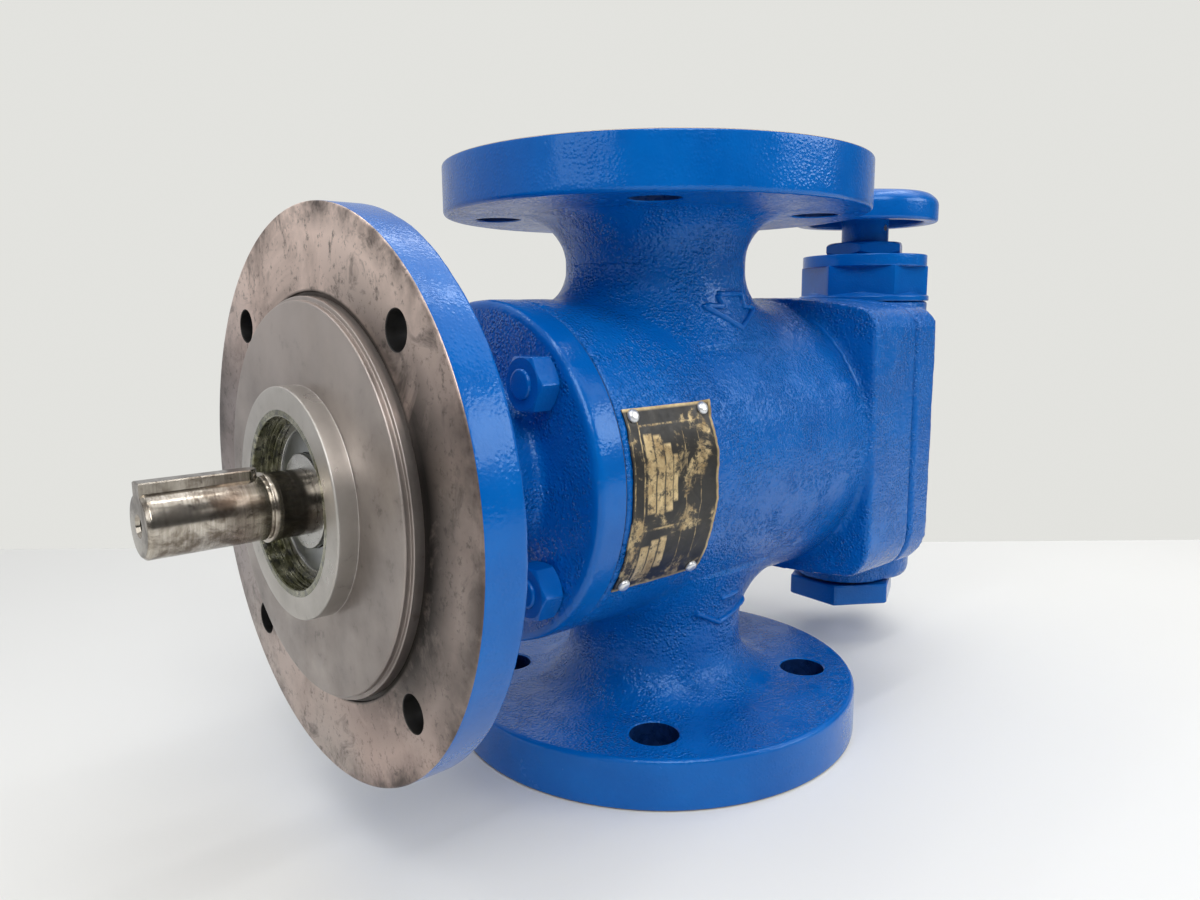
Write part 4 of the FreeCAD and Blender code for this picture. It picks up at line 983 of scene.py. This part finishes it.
def name_plate():
    """A thin curved sheet with slight waves and one lifted corner."""
    across, around = 60, 90
    start, end = -69.6, -30.0
    top, bottom = 25.0, -34.5
    thickness = 0.5
    verts, faces, spots = [], [], []
    for side in (0, 1):
        for i in range(across + 1):
            for k in range(around + 1):
                u, v = i / across, k / around
                angle = math.radians(bottom + (top - bottom) * v)
                wave = 0.18 * noise.noise(Vector((u * 5, v * 7, 0.3))) + 0.12
                lift = 1.3 * max(0.0, (u - 0.86) / 0.14 + (v - 0.90) / 0.10 - 1.0)
                dent = 0.35 * max(0.0, 1 - abs(u - 1.0) * 12) * abs(math.sin(v * 11 + 1))
                radius = BARREL_RADIUS + 0.12 + wave + lift + 0.5 * dent + (thickness if side else 0.0)
                left_wave = waves(v, ((5, 3.1), (23, 1)), (0.9, 0.25))
                right_wave = waves(v, ((6, 7.7), (27, 2)), (1.1, 0.35))
                x = start + (end - start) * u + left_wave * (1 - u) + right_wave * u
                verts.append((x, -radius * math.cos(angle), AXIS_Z + radius * math.sin(angle)))
                spots.append((u, v))
    row = around + 1
    layer = (across + 1) * row
    for side in (0, 1):
        for i in range(across):
            for k in range(around):
                a = side * layer + i * row + k
                faces.append((a, a + 1, a + row + 1, a + row))
    rim = [i * row for i in range(across + 1)] + [across * row + k for k in range(1, around + 1)]
    rim += [i * row + around for i in range(across - 1, -1, -1)] + [k for k in range(around - 1, 0, -1)]
    for a, b in zip(rim, rim[1:] + rim[:1]):
        faces.append((a, b, b + layer, a + layer))
    piece = make("worn_name_plate", verts, faces, [plate_look()], None, 50.0)
    layer_uv = piece.data.uv_layers.new(name="plate")
    for loop in piece.data.loops:
        layer_uv.data[loop.index].uv = spots[loop.vertex_index]
    return dress(piece, "name_plate")


name_plate()
rivet_outline = rounded([(57.0, 0), (57.0, 1.0), (60.7, 1.0), (60.7, 2.25, 0.2), (61.6, 2.15, 0.4),
                         (62.2, 1.4, 0.4), (62.3, 0)], 4)
for number, (x, angle) in enumerate(((-65.8, 22.6), (-33.8, 22.6), (-65.8, -32.1), (-33.8, -32.1))):
    piece = turned("plate_rivet_%d" % number, rivet_outline, 32, [rivet_silver], axis="z",
                   centre=(0.0, 0.0, 0.0), sharp_from=60.0)
    turn = math.radians(angle)
    out = Vector((0.0, -math.cos(turn), math.sin(turn)))
    tilt = Vector((0, 0, 1)).rotation_difference(out).to_matrix().to_4x4()
    piece.data.transform(Matrix.Translation(Vector((x, 0, AXIS_Z)) * MM) @ tilt)
    dress(piece, "plate_rivets")


# Shaft end with its key, and the rings seen in the boss

def slot_outline(start, half):
    """A slot as (x, y) points, from its open start to its half-round end."""
    points = [(start, -half)]
    for k in range(17):
        angle = math.radians(-90 + 180 * k / 16)
        points.append((KEY_END + half * math.cos(angle), half * math.sin(angle)))
    return points + [(start, half)]


def shaft_piece():
    """The shaft up to the threads, with keyway and centre hole."""
    outline = rounded([
        (SHAFT_END, 0), (SHAFT_END, 8.5, 0.2), (-193.9, 9.5, 0.3), (-162.6, 9.5, 0.1), (-162.6, 9.1, 0.1),
        (-161.8, 9.1, 0.1), (-161.8, 10.4, 0.35), (-159.3, 10.4, 0.3), (-159.3, 10.0, 0.1), (-132.5, 10.0),
        (-132.5, 13.0), (-128.5, 13.0), (-128.5, 11.0), (-95.05, 11.0), (-95.05, 15.0), (-67.96, 15.0),
        (-67.96, 10.0), (THREADS_START, 10.0), (THREADS_START, 0),
    ], 3)
    piece = turned("drive_shaft", outline, 144, [shaft_bright, shaft_oiled, shaft_end_dark],
                   lambda a, r: 1 if a > -159.35 else 2 if a < SHAFT_END + 0.05 else 0, sharp_from=28.0)
    hole = [(-196, 0), (-196, 3.4), (SHAFT_END, 3.3), (-193.9, 2.5), (-180.0, 2.5), (-178.9, 0)]
    verts, faces, _ = lathe(hole, 40, "x", (0.0, 0.0, AXIS_Z))
    cut(piece, verts, faces)
    slot = slot_outline(-197.0, 3.02)
    count = len(slot)
    verts = [(x, y, AXIS_Z + 6.0) for x, y in slot] + [(x, y, AXIS_Z + 16.0) for x, y in slot]
    faces = [tuple(range(count)), tuple(range(2 * count - 1, count - 1, -1)), *ring_faces(0, count, count)]
    cut(piece, verts, faces)
    shade(piece.data, 28)
    return piece


def thread_piece():
    """The CAD's threaded part of the drive screw, behind the shaft."""
    threads = welded_copy("drive_threads", "power_screw")
    work = bmesh.new()
    work.from_mesh(threads.data)
    bmesh.ops.bisect_plane(work, geom=work.verts[:] + work.edges[:] + work.faces[:],
                           plane_co=(THREADS_START * MM, 0, 0), plane_no=(-1, 0, 0), clear_outer=True)
    bmesh.ops.holes_fill(work, edges=[e for e in work.edges if e.is_boundary], sides=0)
    work.to_mesh(threads.data)
    work.free()
    threads.data.materials.append(steel)
    shade(threads.data, SHARP)
    return threads


shaft = shaft_piece()
dress(thread_piece(), "power_screw", "drive_rotor")
dress(shaft, "power_screw", "drive_rotor")


def key_piece():
    """The parallel key, flush at the shaft end, rounded at the other, with broken edges."""
    bottom, top = AXIS_Z + 6.0, AXIS_Z + 12.0
    ring = slot_outline(SHAFT_END, 3.0)
    verts = []
    for z, inset in ((bottom, 0.0), (top - 0.35, 0.0), (top, 0.35)):
        verts += [(x + inset if x < -190 else x, y - np.sign(y) * inset, z) for x, y in ring]
    count = len(ring)
    faces = [tuple(range(count)), tuple(range(2 * count, 3 * count))]
    for low in (0, count):
        for k in range(count):
            n = (k + 1) % count
            faces.append((low + k, low + n, low + count + n, low + count + k))
    piece = make("shaft_key_bar", verts, faces, [shaft_metal("key_steel", 0.45)], None, 30.0)
    return dress(piece, "shaft_key", "drive_rotor")


key_piece()
rings = (
    ("boss_spring_ring", "bearing_retaining_ring", oily, "pump_body",
     [(-149.5, 24.0, 0.3), (-149.5, 27.3), (-147.52, 27.3), (-147.52, 24.0, 0.3)]),
    ("shaft_ring", "shaft_retaining_ring", steel, "drive_rotor",
     [(-149.4, 10.05), (-149.4, 14.5, 0.4), (-147.52, 14.5, 0.2), (-147.52, 10.05)]),
    ("bearing_outer_race", "bearing_outer_ring", steel, "pump_body",
     [(-147.5, 21.75, 0.4), (-147.5, 25.95, 0.6), (-132.55, 25.95, 0.6), (-132.55, 21.75, 0.4),
      (-138.0, 21.75), (-140.0, 22.8), (-142.0, 21.75)]),
)
for name, node, look, body_name, outline in rings:
    piece = turned(name, rounded(outline, 3), 180, [look])
    dress(piece, node, body_name)


# Relief spring, a copy of the CAD spring that rides on the plate carrier

spring = placed("relief_spring_coil", frame["nodes"]["valve_spring"].data.copy())
dress(spring, "valve_spring", "plate_carrier")
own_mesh(spring)


# Floor, light and camera

YAW, PITCH, ROLL = (math.radians(v) for v in (41.42, 9.127, -0.465))
EYE = Vector((-0.25454, -0.25451, 0.16924))
RIGHT = Vector((math.cos(YAW), -math.sin(YAW), 0.0))


def stage_piece():
    """A pale table top whose far edge crosses the view as in a studio."""
    g = Graph("pale_table")
    tone = g.blend(g.steps(g.noise(2.0, 3), 0.35, 0.65), (0.775, 0.775, 0.755), (0.805, 0.805, 0.785))
    g.shine(colour=tone, rough=0.42, specular=0.22)
    g.bump(g.noise(30, 3), 0.03, 0.5)
    forward = Vector((math.sin(YAW), math.cos(YAW), 0.0))
    eye = Vector((EYE.x, EYE.y, 0.0))
    near, far, side = eye - forward * 1.1, eye + forward * 0.622, RIGHT * 2.2
    corners = [near - side, near + side, far + side, far - side]
    depth = Vector((0, 0, 0.03))
    verts = [c / MM for c in corners] + [(c - depth) / MM for c in corners]
    faces = [(0, 1, 2, 3), (7, 6, 5, 4), (0, 4, 5, 1), (1, 5, 6, 2), (2, 6, 7, 3), (3, 7, 4, 0)]
    floor = make("table_top", verts, faces, [g.material], None, 10.0)
    floor.location.z = -0.0002


def world_light():
    """A white wall for the eye; for light a bright wall behind, a pale ceiling and a dim room in front."""
    world = bpy.data.worlds.new("studio")
    bpy.context.scene.world = world
    world.use_nodes = True
    tree = world.node_tree
    tree.nodes.clear()

    link = tree.links.new

    def add(kind, operation=None):
        made = tree.nodes.new("ShaderNode" + kind)
        if operation:
            made.operation = operation
        return made

    def ramp(value, low, high, to_high):
        made = add("MapRange")
        made.interpolation_type = "SMOOTHSTEP"
        link(value, made.inputs["Value"])
        for name, number in (("From Min", low), ("From Max", high), ("To Min", 0.0), ("To Max", to_high)):
            made.inputs[name].default_value = number
        return made.outputs["Result"]

    out = add("OutputWorld")
    seen = add("Background")
    soft = add("Background")
    mix = add("MixShader")
    path = add("LightPath")
    direction = add("TexCoord").outputs["Generated"]
    along = add("VectorMath", "DOT_PRODUCT")
    link(direction, along.inputs[0])
    along.inputs[1].default_value = (0.0, 1.0, 0.0)
    split = add("SeparateXYZ")
    link(direction, split.inputs[0])
    total = add("Math", "ADD")
    link(ramp(along.outputs["Value"], -0.30, 0.50, WALL_LIGHT), total.inputs[0])
    link(ramp(split.outputs[2], 0.35, 0.95, CEILING_LIGHT), total.inputs[1])
    level = add("Math", "ADD")
    link(total.outputs[0], level.inputs[0])
    level.inputs[1].default_value = ROOM_LIGHT
    seen.inputs["Color"].default_value = (0.765, 0.765, 0.735, 1.0)
    soft.inputs["Color"].default_value = (0.98, 0.985, 1.0, 1.0)
    link(level.outputs[0], soft.inputs["Strength"])
    link(path.outputs["Is Camera Ray"], mix.inputs[0])
    link(soft.outputs[0], mix.inputs[1])
    link(seen.outputs[0], mix.inputs[2])
    link(mix.outputs[0], out.inputs[0])


def lamp(name, place, target, width, depth, power, colour=(1.0, 1.0, 1.0)):
    light = bpy.data.lights.new(name, "AREA")
    light.shape = "RECTANGLE"
    light.size = width
    light.size_y = depth
    light.energy = power
    light.color = colour
    holder = placed(name, light)
    holder.location = place
    holder.rotation_euler = (Vector(target) - Vector(place)).to_track_quat("-Z", "Y").to_euler()


def camera():
    """The photo's camera: its place, its turn and its lens, from the fit to the standard sizes."""
    forward = Vector((math.sin(YAW) * math.cos(PITCH), math.cos(YAW) * math.cos(PITCH), -math.sin(PITCH)))
    up = RIGHT.cross(forward)
    side = RIGHT * math.cos(ROLL) + up * math.sin(ROLL)
    top = up * math.cos(ROLL) - RIGHT * math.sin(ROLL)
    data = bpy.data.cameras.new("view")
    data.lens = 26.501
    data.sensor_width = 36.0
    data.clip_start = 0.01
    holder = placed("view", data)
    holder.matrix_world = Matrix.Translation(EYE) @ Matrix((side, top, -forward)).transposed().to_4x4()
    bpy.context.scene.camera = holder


stage_piece()
world_light()
lamp("ceiling_panel", (0.45, -0.10, 1.15), (0, 0, 0.1), 1.1, 1.1, 4.0)
lamp("ceiling_tube", (0.10, -0.10, 1.20), (0.10, -0.10, 0), 1.7, 0.07, 3.2)
lamp("second_ceiling_tube", (0.10, 0.55, 1.20), (0.10, 0.45, 0), 1.7, 0.07, 2.6)
lamp("front_window", (0.75, -1.05, 0.70), (0, 0, 0.12), 0.8, 0.5, 5.5, (1.0, 0.99, 0.97))
lamp("left_panel", (-1.10, -0.20, 0.60), (0, 0, 0.12), 0.6, 0.6, 2.0)
lamp("camera_side_panel", (-0.55, -0.95, 1.20), (0, 0, 0.1), 0.9, 0.9, 13.0)
camera()
bpy.context.scene.view_settings.view_transform = "Standard"
